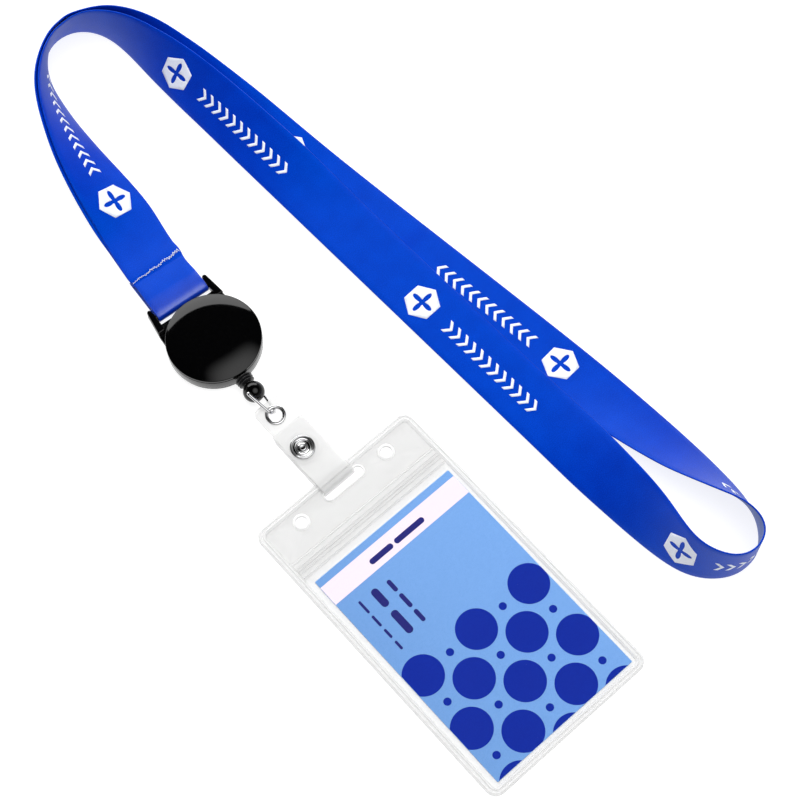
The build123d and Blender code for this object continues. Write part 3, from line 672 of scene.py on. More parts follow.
PRINT_FIRST, PRINT_PITCH, PRINT_COUNT = 29.2 * MM, 121.4 * MM, 7
PRINT_SIDE = -0.8 * MM
PRINT_HEIGHT = RIBBON_THICK / 2 + 0.03 * MM
BADGE_RADIUS = 6.3 * MM
CHEVRON_START, CHEVRON_PITCH, CHEVRON_COUNT = 11.5 * MM, 3.6 * MM, 12
CHEVRON_HALF, CHEVRON_THICK, CHEVRON_POINT = 2.4 * MM, 1.25 * MM, 1.9 * MM


def print_badge(start):
    """Rows of (along, across) between a four-pointed star and a hexagon round it."""
    rows = []
    steps = 72
    for ring in range(5):
        row = []
        for step in range(steps + 1):
            angle = 2 * pi * step / steps
            side = (angle + pi / 6) % (pi / 3) - pi / 6
            outer = BADGE_RADIUS * cos(pi / 6) / cos(side)
            inner = BADGE_RADIUS * (0.16 + 0.52 * abs(cos(2 * angle)) ** 3)
            radius = inner + (outer - inner) * ring / 4
            row.append((start + radius * cos(angle), PRINT_SIDE + radius * sin(angle)))
        rows.append(row)
    return rows


def print_chevron(start):
    rows = []
    for edge in (0, 0.5, 1):
        row = []
        for step in range(9):
            across = CHEVRON_HALF * (step / 4 - 1)
            lead = CHEVRON_POINT * (1 - abs(across) / CHEVRON_HALF)
            row.append((start + lead + edge * CHEVRON_THICK, PRINT_SIDE + across))
        rows.append(row)
    return rows


def make_print(material):
    """The white print: a hexagon badge with a star left blue in it, then a run of chevrons, repeated."""
    points, faces = [], []
    for repeat in range(PRINT_COUNT):
        start = PRINT_FIRST + repeat * PRINT_PITCH
        chevron_starts = [start + CHEVRON_START + step * CHEVRON_PITCH for step in range(CHEVRON_COUNT)]
        patches = [print_badge(start)] + [print_chevron(place) for place in chevron_starts]
        for rows in patches:
            columns = len(rows[0])
            first = len(points)
            points += [on_ribbon(along, across, PRINT_HEIGHT) for row in rows for along, across in row]
            for row in range(len(rows) - 1):
                for column in range(columns - 1):
                    corner = first + row * columns + column
                    faces.append((corner, corner + 1, corner + columns + 1, corner + columns))
    piece = thickened(mesh_object("ribbon_print", points, faces))
    return finish_piece(piece, material, "ribbon")


SEAM_SWING, SEAM_SLANT = 0.5 * MM, 1.3 * MM


def make_seam_thread(material):
    """Zigzag stitches over the overlap's cut edge, and the fibres that have frayed out of it."""
    path = []
    stitches = 44
    for step in range(stitches + 1):
        share = step / stitches
        across = RIBBON_WIDTH * (share - 0.5) * 0.97
        swing = SEAM_SWING * (0.08 + 0.92 * (1 - share) ** 0.7) * (1 if step % 2 else -1)
        wander = 0.25 * MM * sin(step * 0.55) + 0.12 * MM * sin(step * 1.7)
        along = SEAM_SLANT * (0.5 - share) + swing + wander
        path.append(on_ribbon(along, across, RIBBON_THICK / 2 + 0.1 * MM))
    paths = [(softened(path, 0.2 * MM, 3, closed=False), 0.12 * MM)]
    for fibre in range(26):
        across = RIBBON_WIDTH * random.uniform(-0.49, 0.49)
        lean = random.uniform(-0.5, 0.5) * MM
        reach = random.uniform(0.2, 0.55) * MM
        along = SEAM_SLANT * -across / RIBBON_WIDTH
        start = on_ribbon(along + 0.1 * MM, across, RIBBON_THICK / 2 + 0.04 * MM)
        end = on_ribbon(along - reach, across + lean, RIBBON_THICK / 2 + 0.1 * MM)
        paths.append(([start, start.lerp(end, 0.5) + Vector((0, 0, 0.12 * MM)), end], 0.045 * MM))
    piece = joined([tube("seam_thread", path, radius, 6) for path, radius in paths])
    return finish_piece(piece, material, "ribbon")


def joined(pieces):
    """One object from several, under the first one's name."""
    bpy.ops.object.select_all(action="DESELECT")
    for piece in pieces:
        piece.select_set(True)
    bpy.context.view_layer.objects.active = pieces[0]
    bpy.ops.object.join()
    return pieces[0]


def seam_pinch(along):
    """The ribbon's share of its width: drawn in a little before the seam, and flared just past it."""
    pinch = exp(-((along - SEAM_ALONG + 4 * MM) / (4 * MM)) ** 2)
    flare = exp(-((along - SEAM_ALONG - 1.5 * MM) / (2.5 * MM)) ** 2)
    return 1 + 0.03 * (flare - pinch)


def make_ribbon():
    """The band with its darker underside, its print, and the thread that sews it to itself."""
    piece = band("ribbon_band", ribbon_samples, RIBBON_WIDTH, RIBBON_THICK,
                 widths=seam_pinch, two_sided=True)
    finish_piece(piece, ribbon_material("ribbon_blue", RIBBON_DARK, RIBBON_LIGHT), "ribbon")
    piece.data.materials.append(ribbon_material("ribbon_back", BACK_DARK, BACK_LIGHT))
    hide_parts("ribbon_fold", "ribbon_seam_leg", "ribbon_left_turn", "ribbon_upper_leg",
                "ribbon_right_turn", "ribbon_lower_leg", "ribbon_outer_turn", "ribbon_outer_leg")
    ink = make_print(white_ink_material("print_white"))
    thread = make_seam_thread(thread_material("thread_white", (0.82, 0.84, 0.92)))
    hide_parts("seam_stitching")


# ======== Plates: flat outlines with rounded edges ========
def inset_outline(outline, inset):
    """The outline moved to its left by inset."""
    moved = []
    count = len(outline)
    for index, (x, y) in enumerate(outline):
        before, after = outline[index - 1], outline[(index + 1) % count]
        first = Vector((x - before[0], y - before[1])).normalized()
        second = Vector((after[0] - x, after[1] - y)).normalized()
        turn = Vector((-first.y - second.y, first.x + second.x)) / (1 + first.dot(second))
        moved.append((x + turn.x * inset, y + turn.y * inset))
    return moved


def plate(name, outline, holes, low, high, place, edge):
    """A flat plate with holes; outline and holes run anticlockwise, and edge is its corners' radius."""
    levels = [(edge, low), (edge * 0.3, low + edge * 0.3), (0, low + edge),
              (0, high - edge), (edge * 0.3, high - edge * 0.3), (edge, high)]
    work = bmesh.new()
    rims = ([], [])
    for loop, sign in [(outline, 1)] + [(hole, -1) for hole in holes]:
        rings = []
        for inset, level in levels:
            rings.append([work.verts.new((x, y, level)) for x, y in inset_outline(loop, sign * inset)])
        count = len(loop)
        for lower, upper in zip(rings, rings[1:]):
            for step in range(count):
                following = (step + 1) % count
                work.faces.new((lower[step], lower[following], upper[following], upper[step]))
        for rim, ring in zip(rims, (rings[0], rings[-1])):
            rim += [work.edges.get((ring[step], ring[(step + 1) % count])) for step in range(count)]
    for rim in rims:
        bmesh.ops.triangle_fill(work, use_beauty=True, edges=rim)
    bmesh.ops.recalc_face_normals(work, faces=work.faces)
    bmesh.ops.transform(work, matrix=place, verts=work.verts)
    mesh = bpy.data.meshes.new(name)
    work.to_mesh(mesh)
    work.free()
    return linked(name, mesh)


def extruded(name, profile, start, end, place):
    """A closed (y, z) profile run along local x from start to end."""
    count = len(profile)
    points = [(x, y, z) for x in (start, end) for y, z in profile]
    faces = [(step, (step + 1) % count, count + (step + 1) % count, count + step) for step in range(count)]
    faces += [tuple(reversed(range(count))), tuple(range(count, 2 * count))]
    piece = mesh_object(name, points, faces, place)
    clean_mesh(piece)
    return piece


def in_mm(pairs, base=0.0):
    """(radius, level) pairs given in millimetres above base, as metres."""
    return [(radius * MM, base + level * MM) for radius, level in pairs]


def circle(centre, radius, steps=48):
    angles = [2 * pi * step / steps for step in range(steps)]
    return [(centre[0] + radius * cos(angle), centre[1] + radius * sin(angle)) for angle in angles]


# ======== Reel ========
REEL_RADIUS, REEL_WALL = 16 * MM, 1.2 * MM
PLATE_THICK, ARM_HEIGHT, CASE_TOP = 1.5 * MM, 3.3 * MM, 6.2 * MM
SHOULDER, CROWN, COVER_WALL = 7.3 * MM, 9.5 * MM, 1.0 * MM
CORD_Z, CORD_RADIUS = 4.4 * MM, 0.4 * MM
BOOT_NEAR, BOOT_FAR = 16.4 * MM, 19.25 * MM
BALL_RADIUS, BALL_FLAT = 3.6 * MM, 3.2 * MM
WIRE_RADIUS, WIRE_BEND = 0.55 * MM, 1.1 * MM
PLATE_RADIUS, BAR_HALF = 15.4 * MM, 10.8 * MM
CORD_START, CORD_HELD, CORD_END = 12.2 * MM, 12.4 * MM, 22.75 * MM
RIB_NEAR, RIB_STEP, RIB_GROOVE = 3.2 * MM, 0.4 * MM, 0.95 * MM
DOME_POWER = 3


def dome(radius):
    return CROWN - (CROWN - SHOULDER) * (radius / REEL_RADIUS) ** DOME_POWER


def make_cover(material):
    """Front cover: a flat-topped dome, rounded shoulder, short wall and a fine lip at the parting line."""
    top = [(REEL_RADIUS * step / 24, dome(REEL_RADIUS * step / 24)) for step in range(24)]
    corners = [(15.5 * MM, dome(15.5 * MM), 0), (REEL_RADIUS, dome(15.9 * MM), 0),
               (REEL_RADIUS, SHOULDER - 0.7 * MM, 0)]
    shoulder = softened(corners, 0.7 * MM, 8, closed=False)
    wall = [(REEL_RADIUS, CASE_TOP + 0.25 * MM), (REEL_RADIUS - 0.2 * MM, CASE_TOP + 0.03 * MM)]
    inner = [(REEL_RADIUS - REEL_WALL, CASE_TOP + 0.03 * MM)]
    inner += [(radius, dome(radius) - COVER_WALL) for radius in (14.8 * MM, 12 * MM, 8 * MM, 4 * MM, 0)]
    profile = top + [(point.x, point.y) for point in shoulder] + wall + inner
    piece = turned("reel_cover", profile, REEL, 160)
    finish_piece(piece, material, "reel", sharp=40)
    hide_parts("front_cover")


def make_case(material):
    """Rear case: a cup with rounded foot, and a fine lip where the cover meets it."""
    foot = in_mm([(0.9, 0), (0.45, 0.12), (0.15, 0.45), (0.02, 0.9)], PLATE_THICK)
    outside = [(0, PLATE_THICK)] + [(REEL_RADIUS - inset, level) for inset, level in foot]
    outside += [(REEL_RADIUS, CASE_TOP - 0.25 * MM), (REEL_RADIUS - 0.2 * MM, CASE_TOP - 0.03 * MM)]
    wall = REEL_RADIUS - REEL_WALL
    inside = [(wall, CASE_TOP - 0.03 * MM), (wall, PLATE_THICK + 0.8 * MM), (0, PLATE_THICK + 0.8 * MM)]
    piece = turned("reel_case", outside + inside, REEL, 160)
    finish_piece(piece, material, "reel", sharp=40)
    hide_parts("rear_case")


def make_fork(material):
    """Back plate: disc, cheeks and the two arms, with the bar that holds the ribbon."""
    outline = []
    for step in range(41):
        angle = radians(-200 + 220 * step / 40)
        outline.append((PLATE_RADIUS * cos(angle), PLATE_RADIUS * sin(angle)))
    right = [(13.5, 6.0), (13.2, 12.2), (13.2, 13.0), (11.95, 22.6), (11.5, 23.1), (10.8, 23.1),
             (10.3, 22.6), (10.3, 17.1)]
    corners = [(x * MM, y * MM, 0) for x, y in right] + [(-x * MM, y * MM, 0) for x, y in reversed(right)]
    outline += [(point.x, point.y) for point in softened(corners, 0.5 * MM, 3)]
    parts = [plate("reel_fork", outline, [], 0, PLATE_THICK, REEL, 0.25 * MM)]
    for side in (1, -1):
        arm = [(10.3, 14.0), (13.05, 14.0), (11.9, 22.6), (11.45, 23.1), (10.8, 23.1), (10.3, 22.6)]
        arm = [(side * x * MM, y * MM, 0) for x, y in (arm if side > 0 else reversed(arm))]
        rounded = [(point.x, point.y) for point in softened(arm, 0.3 * MM, 3)]
        parts.append(plate("arm", rounded, [], PLATE_THICK - 0.3 * MM, ARM_HEIGHT, REEL, 0.3 * MM))
    ends = [REEL @ Vector((x, BAR_Y, BAR_Z)) for x in (-BAR_HALF, BAR_HALF)]
    parts.append(tube("bar", ends, BAR_RADIUS, 24))
    piece = joined(parts)
    finish_piece(piece, material, "reel", sharp=40)
    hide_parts("back_plate")


CORD_FRAME = axes_matrix(REEL @ Vector((0, 0, CORD_Z)), reel_right, Vector((0, 0, 1)), -reel_up)


def make_cord(material):
    """The pull cord between the case and the ball; it draws out as the badge is pulled."""
    steps = 60
    gap = (CORD_END - CORD_START) / steps
    path = [CORD_FRAME @ Vector((0, 0, CORD_START + gap * step)) for step in range(steps + 1)]
    piece = tube("pull_cord", path, CORD_RADIUS, 14)
    piece.data.materials.append(material)
    piece.data.shade_smooth()
    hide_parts("cord_lead")
    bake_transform(piece)


def make_boot(material):
    """Rubber sleeve: three rounded ribs, with deep grooves between, that step down towards the ball."""
    ribs, length = 3, BOOT_FAR - BOOT_NEAR
    profile = [(CORD_RADIUS, BOOT_NEAR + 0.02 * MM)]
    for step in range(16 * ribs + 1):
        t = step / (16 * ribs)
        groove = abs(cos(pi * ribs * t)) ** 2.5
        profile.append((RIB_NEAR - RIB_STEP * t - RIB_GROOVE * groove, BOOT_NEAR + length * t))
    profile.append((CORD_RADIUS, BOOT_FAR))
    piece = turned("cord_sleeve", profile, CORD_FRAME, 72)
    finish_piece(piece, material, "puller")
    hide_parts("cord_boot")


def make_ball(material):
    """Pull ball, flat where it meets the sleeve."""
    flat_angle = acos(BALL_FLAT / BALL_RADIUS)
    profile = [(0, -BALL_FLAT)]
    for step in range(33):
        angle = pi - flat_angle - (pi - flat_angle) * step / 32
        profile.append((BALL_RADIUS * sin(angle), BALL_RADIUS * cos(angle)))
    place = axes_matrix(ball_centre, reel_right, Vector((0, 0, 1)), -reel_up)
    piece = turned("draw_ball", profile, place, 72)
    finish_piece(piece, material, "ball")
    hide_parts("pull_ball")


def make_wire(material):
    """Wire loop: both ends turn into the ball, and the far side runs through the eyelet."""
    reach = 9.6
    corners = [(-2.0, 0), (-4.4, 0), (-1.75, reach), (1.75, reach), (4.4, 0), (2.0, 0)]
    path = softened([(x * MM, y * MM, 0) for x, y in corners], WIRE_BEND, 8, closed=False)
    piece = tube("wire_hanger", [LOOP @ point for point in path], WIRE_RADIUS, 20)
    finish_piece(piece, material, "wire")
    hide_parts("wire_loop")


# ======== Snap strap ========
STRAP_WIDTH, TAB_WIDTH = 12.7 * MM, 11 * MM
STRAP_FOLD, TAB_END = 2.05 * MM, 35.1 * MM
SNAP = (-1.1 * MM, 15.2 * MM)
CAP_BASE, EYELET_HOLE = 2.6 * MM, 2.45 * MM
SWELL_HEIGHT, SWELL_REACH, SWELL_WIDTH = 0.2 * MM, 5.1 * MM, 0.6 * MM


def strap_point(across, along, level):
    return STRAP @ Vector((across, along, level))


def make_strap(material):
    """Back of the strap: a flat tab with the eyelet's hole, and the half turn through the holder's slot."""
    half, wide = TAB_WIDTH / 2, STRAP_WIDTH / 2
    right = [(wide, 0, 0), (wide, 22.5 * MM, 0), (half, 24.5 * MM, 0), (half, TAB_END, 0)]
    left = [(-x, y, 0) for x, y, _ in reversed(right)]
    radii = [0, 0.6 * MM, 0.6 * MM, 2.5 * MM]
    corners = softened(left[-1:] + right + left[:-1], radii[:1] + radii + radii[:0:-1], 6)
    outline = [(point.x, point.y) for point in corners]
    hole = circle((0, EYELET_ALONG), EYELET_HOLE)
    tab = plate("strap_tab", outline, [hole], 0, VINYL, STRAP, 0.15 * MM)
    middle = STRAP_FOLD - VINYL / 2
    samples = []
    for step in range(25):
        angle = pi * step / 24
        centre = strap_point(0, -middle * sin(angle), STRAP_FOLD - middle * cos(angle))
        samples.append((centre, strap_across))
    samples.append((strap_point(0, 0.4 * MM, STRAP_FOLD + middle), strap_across))
    turn = band("turn", measured(samples), STRAP_WIDTH, VINYL)
    turn.data.uv_layers.remove(turn.data.uv_layers[0])
    piece = joined([tab, turn])
    finish_piece(piece, material, "strap", sharp=40)
    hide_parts("strap_back")


def make_flap(material):
    """Front of the strap: it comes down from the fold to the snap, dished round the snap's cap."""
    middle = [(0.5, 3.78), (2.5, 3.72), (5.0, 3.45), (8.0, 2.8), (10.7, 2.35), (13.0, 2.3), (19.0, 2.3),
              (24.0, 2.3)]
    line = bent_line([(x * MM, 0, z * MM) for x, z in middle], 0.5 * MM)
    samples = measured([(strap_point(0, point.x, point.z), strap_across) for point in line])
    piece = band("strap_front", samples, STRAP_WIDTH, VINYL, across_steps=26)
    for vertex in piece.data.vertices:
        local = STRAP.inverted() @ vertex.co
        reach = sqrt((local.x - SNAP[0]) ** 2 + (local.y - SNAP[1]) ** 2)
        swell = SWELL_HEIGHT * exp(-((reach - SWELL_REACH) / SWELL_WIDTH) ** 2)
        vertex.co = vertex.co + strap_normal * swell
    finish_piece(piece, material, "flap")
    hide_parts("strap_flap")


def make_eyelet(material):
    """Rolled eyelet: a flared flange in front, the barrel, and the washer that it is set against."""
    front = [(2.5, 0), (3.4, 0), (3.42, 0.1), (3.3, 0.22), (2.95, 0.3), (2.55, 0.25), (2.3, 0.08),
             (2.2, -0.15)]
    back = [(2.2, -0.25), (2.35, -0.3), (3.3, -0.25), (3.4, -0.12), (3.4, 0), (2.5, 0)]
    place = STRAP @ Matrix.Translation((0, EYELET_ALONG, 0))
    piece = turned("strap_eyelet", in_mm(back) + in_mm(front, VINYL), place, 72)
    finish_piece(piece, material, "strap", sharp=60)
    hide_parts("eyelet_barrel", "eyelet_washer")


SNAP_PLACE = STRAP @ Matrix.Translation((*SNAP, 0))


def make_snap(material):
    """Snap fastener: a cap of rolled rings on the flap, and the post's domed head behind the strap."""
    rings = [(0, 0.4), (0.6, 0.42), (0.95, 0.5), (1.25, 0.44), (1.45, 0.2), (1.7, 0.08), (1.95, 0.12),
             (2.15, 0.3), (2.45, 0.42), (2.8, 0.36), (3.0, 0.2), (3.2, 0.2), (3.4, 0.5), (3.65, 0.64),
             (3.95, 0.58), (4.15, 0.4), (4.2, 0.12), (4.1, 0), (0, 0)]
    cap = turned("snap_cover", in_mm(rings, CAP_BASE), SNAP_PLACE, 96)
    finish_piece(cap, material, "flap", sharp=60)
    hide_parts("snap_cap")
    head = [(0, -0.35), (1.6, -0.34), (2.7, -0.27), (3.1, -0.15), (3.2, 0), (0.9, 0), (0.9, 0.9), (0, 0.9)]
    post = turned("snap_rivet", in_mm(head), SNAP_PLACE, 72)
    finish_piece(post, material, "strap", sharp=40)
    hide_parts("snap_post")


# ======== Card holder ========
HOLDER_SIZE, HOLDER_MIDDLE, HOLDER_CORNER = (65 * MM, 113.6 * MM), (-0.5 * MM, 10.2 * MM), 4 * MM
RIM_WIDTH, RIM_BASE, BEAD_HEIGHT = 2.5 * MM, 1.05 * MM, 0.55 * MM
BACK_LEVEL, FRONT_LEVEL, SHEET = 0.2 * MM, 1.1 * MM, 0.3 * MM
INSIDE = (HOLDER_SIZE[0] - 2 * RIM_WIDTH, HOLDER_SIZE[1] - 2 * RIM_WIDTH)
INSIDE_LEFT, INSIDE_RIGHT = (HOLDER_MIDDLE[0] + side * INSIDE[0] / 2 for side in (-1, 1))
INSIDE_BOTTOM, INSIDE_TOP = (HOLDER_MIDDLE[1] + side * INSIDE[1] / 2 for side in (-1, 1))
FRONT_TOP, LIP_BOTTOM, LIP_TOP, HEADER_BOTTOM = 44.6 * MM, 44.7 * MM, 51.2 * MM, 51.5 * MM
ZIP_ALONG, RAIL_APART, RAIL_HALF = 48 * MM, 0.75 * MM, 0.2 * MM
BELLY, RIPPLE = 0.12 * MM, 0.035 * MM
SLOT_SIZE, SLOT_CENTRE = (15.5 * MM, 3.6 * MM), (0.3 * MM, 61.3 * MM)
SLOT_END = 0.999        # share of the half height that rounds the slot's ends, so no two points meet
HOLES = ((HOLE_SHIFT - 18 * MM, HOLE_ALONG), (HOLE_SHIFT + 18 * MM, HOLE_ALONG))
HOLE_RADIUS = 1.9 * MM


def header_holes():
    slot = rounded_rectangle(SLOT_CENTRE, *SLOT_SIZE, SLOT_SIZE[1] / 2 * SLOT_END)
    return [slot] + [circle(hole, HOLE_RADIUS) for hole in HOLES]


def make_rim(material):
    """Welded rim: two rounded beads side by side all round the holder."""
    steps = 28
    profile = [(-RIM_WIDTH + 0.08 * MM, 0), (-0.12 * MM, 0), (0, 0.15 * MM), (0, 0.8 * MM)]
    for step in range(steps + 1):
        t = step / steps
        crest = sin(2 * pi * t) ** 2
        profile.append((-0.06 * MM - (RIM_WIDTH - 0.12 * MM) * t, RIM_BASE + BEAD_HEIGHT * crest))
    profile += [(-RIM_WIDTH, 0.8 * MM), (-RIM_WIDTH, 0.1 * MM)]
    piece = swept_rim("holder_rim", HOLDER_MIDDLE, *HOLDER_SIZE, HOLDER_CORNER, profile, HOLDER)
    finish_piece(piece, material, "holder", sharp=50)


def make_back_sheet(material):
    outline = rounded_rectangle(HOLDER_MIDDLE, INSIDE[0] + 0.1 * MM, INSIDE[1] + 0.1 * MM, 1.5 * MM)
    levels = (BACK_LEVEL, BACK_LEVEL + SHEET)
    piece = plate("holder_back_sheet", outline, header_holes(), *levels, HOLDER, 0.05 * MM)
    finish_piece(piece, material, "holder", sharp=40)
    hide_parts("holder_back")


def make_front_sheet(material):
    """Front sheet: one pane that bellies very slightly over the card, open at its top edge."""
    columns, rows = 48, 72
    points, faces = [], []
    for level in (FRONT_LEVEL, FRONT_LEVEL + SHEET):
        for row in range(rows + 1):
            for column in range(columns + 1):
                across, along = column / columns, row / rows
                belly = BELLY * sin(pi * across) * sin(pi * min(1, 0.1 + along))
                ripple = RIPPLE * sin(7 * across + 5 * along) * sin(9 * along + 1) * sin(pi * across)
                x = INSIDE_LEFT + (INSIDE_RIGHT - INSIDE_LEFT) * across
                y = INSIDE_BOTTOM + (FRONT_TOP - INSIDE_BOTTOM) * along
                points.append((x, y, level + belly + ripple))
    layer = (rows + 1) * (columns + 1)
    for row in range(rows):
        for column in range(columns):
            corner = row * (columns + 1) + column
            quad = (corner, corner + 1, corner + columns + 2, corner + columns + 1)
            faces.append(tuple(reversed(quad)))
            faces.append(tuple(layer + index for index in quad))
    edge = list(range(columns))
    edge += [row * (columns + 1) + columns for row in range(rows)]
    edge += [rows * (columns + 1) + column for column in range(columns, 0, -1)]
    edge += [row * (columns + 1) for row in range(rows, 0, -1)]
    for index, corner in enumerate(edge):
        following = edge[(index + 1) % len(edge)]
        faces.append((corner, following, layer + following, layer + corner))
    piece = mesh_object("holder_front_sheet", points, faces, HOLDER)
    finish_piece(piece, material, "holder", sharp=50)
    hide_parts("holder_front")


def make_header(material, highlight_edge_material):
    """Doubled strip along the slotted edge, with raised rings round the holes and a lip round the slot."""
    middle = (HOLDER_MIDDLE[0], (HEADER_BOTTOM + INSIDE_TOP) / 2)
    outline = rounded_rectangle(middle, INSIDE[0], INSIDE_TOP - HEADER_BOTTOM, 1.4 * MM)
    low = BACK_LEVEL + SHEET
    piece = plate("header_strip", outline, header_holes(), low, low + SHEET, HOLDER, 0.08 * MM)
    finish_piece(piece, material, "holder", sharp=40)
    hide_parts("header_patch")
    rings = []
    bead = [(1.9, 0), (1.9, 0.2), (2.05, 0.3), (2.3, 0.28), (2.5, 0.14), (2.7, 0.05), (2.8, 0)]
    for hole in HOLES:
        place = HOLDER @ Matrix.Translation((*hole, 0))
        rings.append(turned("header_rings", in_mm(bead, low + SHEET), place, 64))
    lip = in_mm([(0, 0), (0, 0.2), (0.1, 0.3), (0.3, 0.28), (0.45, 0.14), (0.6, 0)], low + SHEET)
    rings.append(swept_rim("slot_lip", SLOT_CENTRE, *SLOT_SIZE, SLOT_SIZE[1] / 2 * SLOT_END, lip, HOLDER))
    # The rings and the lip take the whiter, more opaque edge vinyl: a painted highlight along them.
    edge = joined(rings)
    finish_piece(edge, highlight_edge_material, "holder", sharp=60)


def half_round(centre, half_width, base, height, steps=6):
    """(y, z) points over a small ridge, from its low side to its high side."""
    return [(centre - half_width * cos(pi * step / steps), base + height * sin(pi * step / steps))
            for step in range(steps + 1)]


def make_zip(material):
    """Zip closure: two rails on the back sheet, and the lip with its finger ridges over them."""
    low = BACK_LEVEL + SHEET
    rails = []
    for side in (-1, 1):
        centre = ZIP_ALONG + side * RAIL_APART
        profile = [(centre - RAIL_HALF, low)] + half_round(centre, RAIL_HALF, low + 0.3 * MM, RAIL_HALF)
        profile += [(centre + RAIL_HALF, low)]
        ends = (INSIDE_LEFT + 0.3 * MM, INSIDE_RIGHT - 0.3 * MM)
        rails.append(extruded("zip_rails", profile[::-1], *ends, HOLDER))
    track = joined(rails)
    finish_piece(track, material, "holder", sharp=60)
    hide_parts("zip_track")
    top = FRONT_LEVEL + SHEET
    profile = [(LIP_BOTTOM, FRONT_LEVEL), (LIP_BOTTOM, top)]
    for centre in (45.3, 46.9, 48.0, 49.1, 50.8):
        profile += half_round(centre * MM, 0.28 * MM, top, (0.3 if centre == 48.0 else 0.2) * MM)
    profile += [(LIP_TOP, top), (LIP_TOP, FRONT_LEVEL)]
    tongue = ((0.35, 0), (0.25, -0.35), (-0.25, -0.35), (-0.35, 0))
    profile += [(ZIP_ALONG + along * MM, FRONT_LEVEL + level * MM) for along, level in tongue]
    ends = (INSIDE_LEFT + 0.2 * MM, INSIDE_RIGHT - 0.2 * MM)
    lip = extruded("zip_cover", profile[::-1], *ends, HOLDER)
    finish_piece(lip, material, "lip", sharp=60)
    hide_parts("zip_lip")


# ======== Card ========
CARD_SIZE, CARD_MIDDLE = (56.6 * MM, 85.1 * MM), (-0.15 * MM, -0.4 * MM)
CARD_LEVEL, CARD_THICK = 0.6 * MM, 0.4 * MM
PRINT_LEVEL = CARD_LEVEL + CARD_THICK
INK_LEVEL = PRINT_LEVEL + INK_THICK
BAND = (32.1 * MM, 39.5 * MM)
DOT_FIRST, DOT_PITCH, DOT_SIZES = (-23.1 * MM, -3.1 * MM), 11.15 * MM, (6.75 * MM, 1.3 * MM)
# Rounded bars that stand where a card has its words: centre along the line, length.
HEADING_BARS = ((-6.6, 9.4), (5.2, 12.2))
NAME_LINES = (
    (-11.0, 1.5, ((25.0, 4.6), (18.6, 5.6), (12.1, 4.8))),
    (-16.5, 2.6, ((24.6, 7.2), (14.2, 9.2))),
    (-22.3, 0.9, ((25.6, 5.0), (19.6, 4.4), (14.2, 3.6), (9.2, 3.4))),
)


def clipped(outline, axis, limit, sign):
    """The part of a convex outline where sign * coordinate <= sign * limit."""
    kept = []
    for index, point in enumerate(outline):
        before = outline[index - 1]
        inside, was_inside = sign * (point[axis] - limit) <= 0, sign * (before[axis] - limit) <= 0
        if inside != was_inside:
            t = (limit - before[axis]) / (point[axis] - before[axis])
            kept.append(tuple(before[part] + (point[part] - before[part]) * t for part in (0, 1)))
        if inside:
            kept.append(point)
    return kept


def printed(name, outlines, material, level):
    """Thin printed shapes on the card, cut off at its edges."""
    half_x, half_y = CARD_SIZE[0] / 2 - 0.05 * MM, CARD_SIZE[1] / 2 - 0.05 * MM
    points, faces = [], []
    for outline in outlines:
        for axis, half in ((0, half_x), (1, half_y)):
            outline = clipped(outline, axis, CARD_MIDDLE[axis] + half, 1)
            outline = clipped(outline, axis, CARD_MIDDLE[axis] - half, -1)
        if len(outline) > 2:
            faces.append(tuple(range(len(points), len(points) + len(outline))))
            points += [(x, y, level) for x, y in outline]
    piece = thickened(mesh_object(name, points, faces, HOLDER))
    finish_piece(piece, material, "card")
    piece.data.shade_flat()


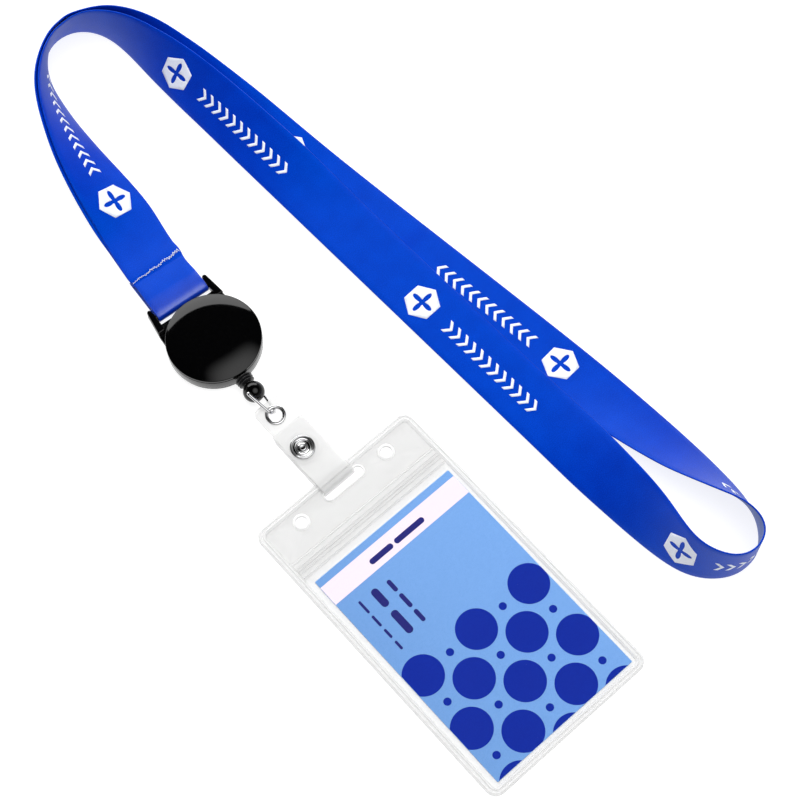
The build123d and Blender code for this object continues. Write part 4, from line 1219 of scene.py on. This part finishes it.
def make_card():
    outline = rounded_rectangle(CARD_MIDDLE, *CARD_SIZE, 0.25 * MM)
    base = plate("badge_card", outline, [], CARD_LEVEL, PRINT_LEVEL, HOLDER, 0.04 * MM)
    sky = paper_material("card_sky", SKY_DARK, SKY_LIGHT)
    finish_piece(base, sky, "card", sharp=40)
    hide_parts("card_insert")
    band_outline = [(-30 * MM, BAND[0]), (30 * MM, BAND[0]), (30 * MM, BAND[1]), (-30 * MM, BAND[1])]
    printed("card_band", [band_outline], paper_material("card_pink", PINK_DARK, PINK_LIGHT), INK_LEVEL)
    navy = paper_material("card_navy", NAVY_DARK, NAVY_LIGHT)
    dots = []
    for column in range(5):
        for row in range(5):
            centre = (DOT_FIRST[0] + column * DOT_PITCH, DOT_FIRST[1] - row * DOT_PITCH)
            dots.append(circle(centre, DOT_SIZES[(column + row) % 2], 64))
    printed("card_dots", dots, navy, INK_LEVEL)
    bars = [rounded_rectangle((middle * MM, 35.2 * MM), length * MM, 2.0 * MM, 0.98 * MM)
            for middle, length in HEADING_BARS]
    for across, thick, parts in NAME_LINES:
        bars += [rounded_rectangle((across * MM, middle * MM), thick * MM, length * MM, thick * 0.49 * MM)
                 for middle, length in parts]
    ink = paper_material("card_ink", INK_DARK, INK_LIGHT)
    printed("card_bars", bars, ink, INK_LEVEL + INK_THICK)


# ======== The whole scene ========
def paint_inner_parts(steel, inner, plastic, cord):
    """The working parts inside the case and the snap keep their CAD shapes and take real materials."""
    finishes = {
        "spool_axle": inner, "spiral_spring": inner, "cord_exit_bush": steel, "spool": plastic,
        "cord_winding": cord, "cord_knot": cord, "snap_stud": steel, "snap_socket": steel,
    }
    for node, material in finishes.items():
        for place in NODES[node].material_slots:
            place.link = "OBJECT"
            place.material = material


def build():
    gloss = gloss_black_material("black_gloss", 0.06, 0.05)
    satin = gloss_black_material("black_case", 0.12, 0.08)
    steel = steel_material("bright_steel", STEEL, 0.12)
    inner = steel_material("inner_steel", (0.5, 0.5, 0.52), 0.28)
    cord = thread_material("cord_black", (0.02, 0.02, 0.022))
    pane = vinyl_material("vinyl_pane", (0.86, 0.86, 0.86), 0.003, 0.12, 0.1)
    sheet = vinyl_material("vinyl_sheet", (0.80, 0.80, 0.798), 0.38, 0.16, 0.12)
    rim = vinyl_material("vinyl_rim", (0.80, 0.80, 0.798), 0.5, 0.16, 0.01)
    # A whiter, more opaque copy of the sheet vinyl: painted highlight on the header's raised rings and the slot's
    # lip.
    edge = vinyl_material("vinyl_edge_painted_highlight", (0.97, 0.97, 0.97), 0.8, 0.12, 0.05)
    strap = vinyl_material("vinyl_strap", (0.82, 0.82, 0.818), 0.42, 0.14, 0.12)
    make_ribbon()
    make_cover(gloss)
    make_case(satin)
    make_fork(satin)
    make_cord(cord)
    make_boot(rubber_material("black_rubber"))
    make_ball(gloss)
    make_wire(steel)
    make_strap(strap)
    make_flap(strap)
    make_eyelet(steel)
    make_snap(steel)
    make_rim(rim)
    make_back_sheet(sheet)
    make_front_sheet(pane)
    make_header(sheet, edge)
    make_zip(rim)
    make_card()
    paint_inner_parts(steel, inner, white_plastic_material("white_plastic"), cord)


make_camera()
make_world()
make_floor()
build()
scene = bpy.context.scene
scene.view_settings.view_transform = "Standard"
add_light("top", (0.1, 0.1, 0.9), (0, 0, 0), (0.9, 0.9), 8, False)
add_light("window", (0.4885, 1.047, 0.565), (-0.03, 0.02, 0), (1.84, 0.64), 13, True)
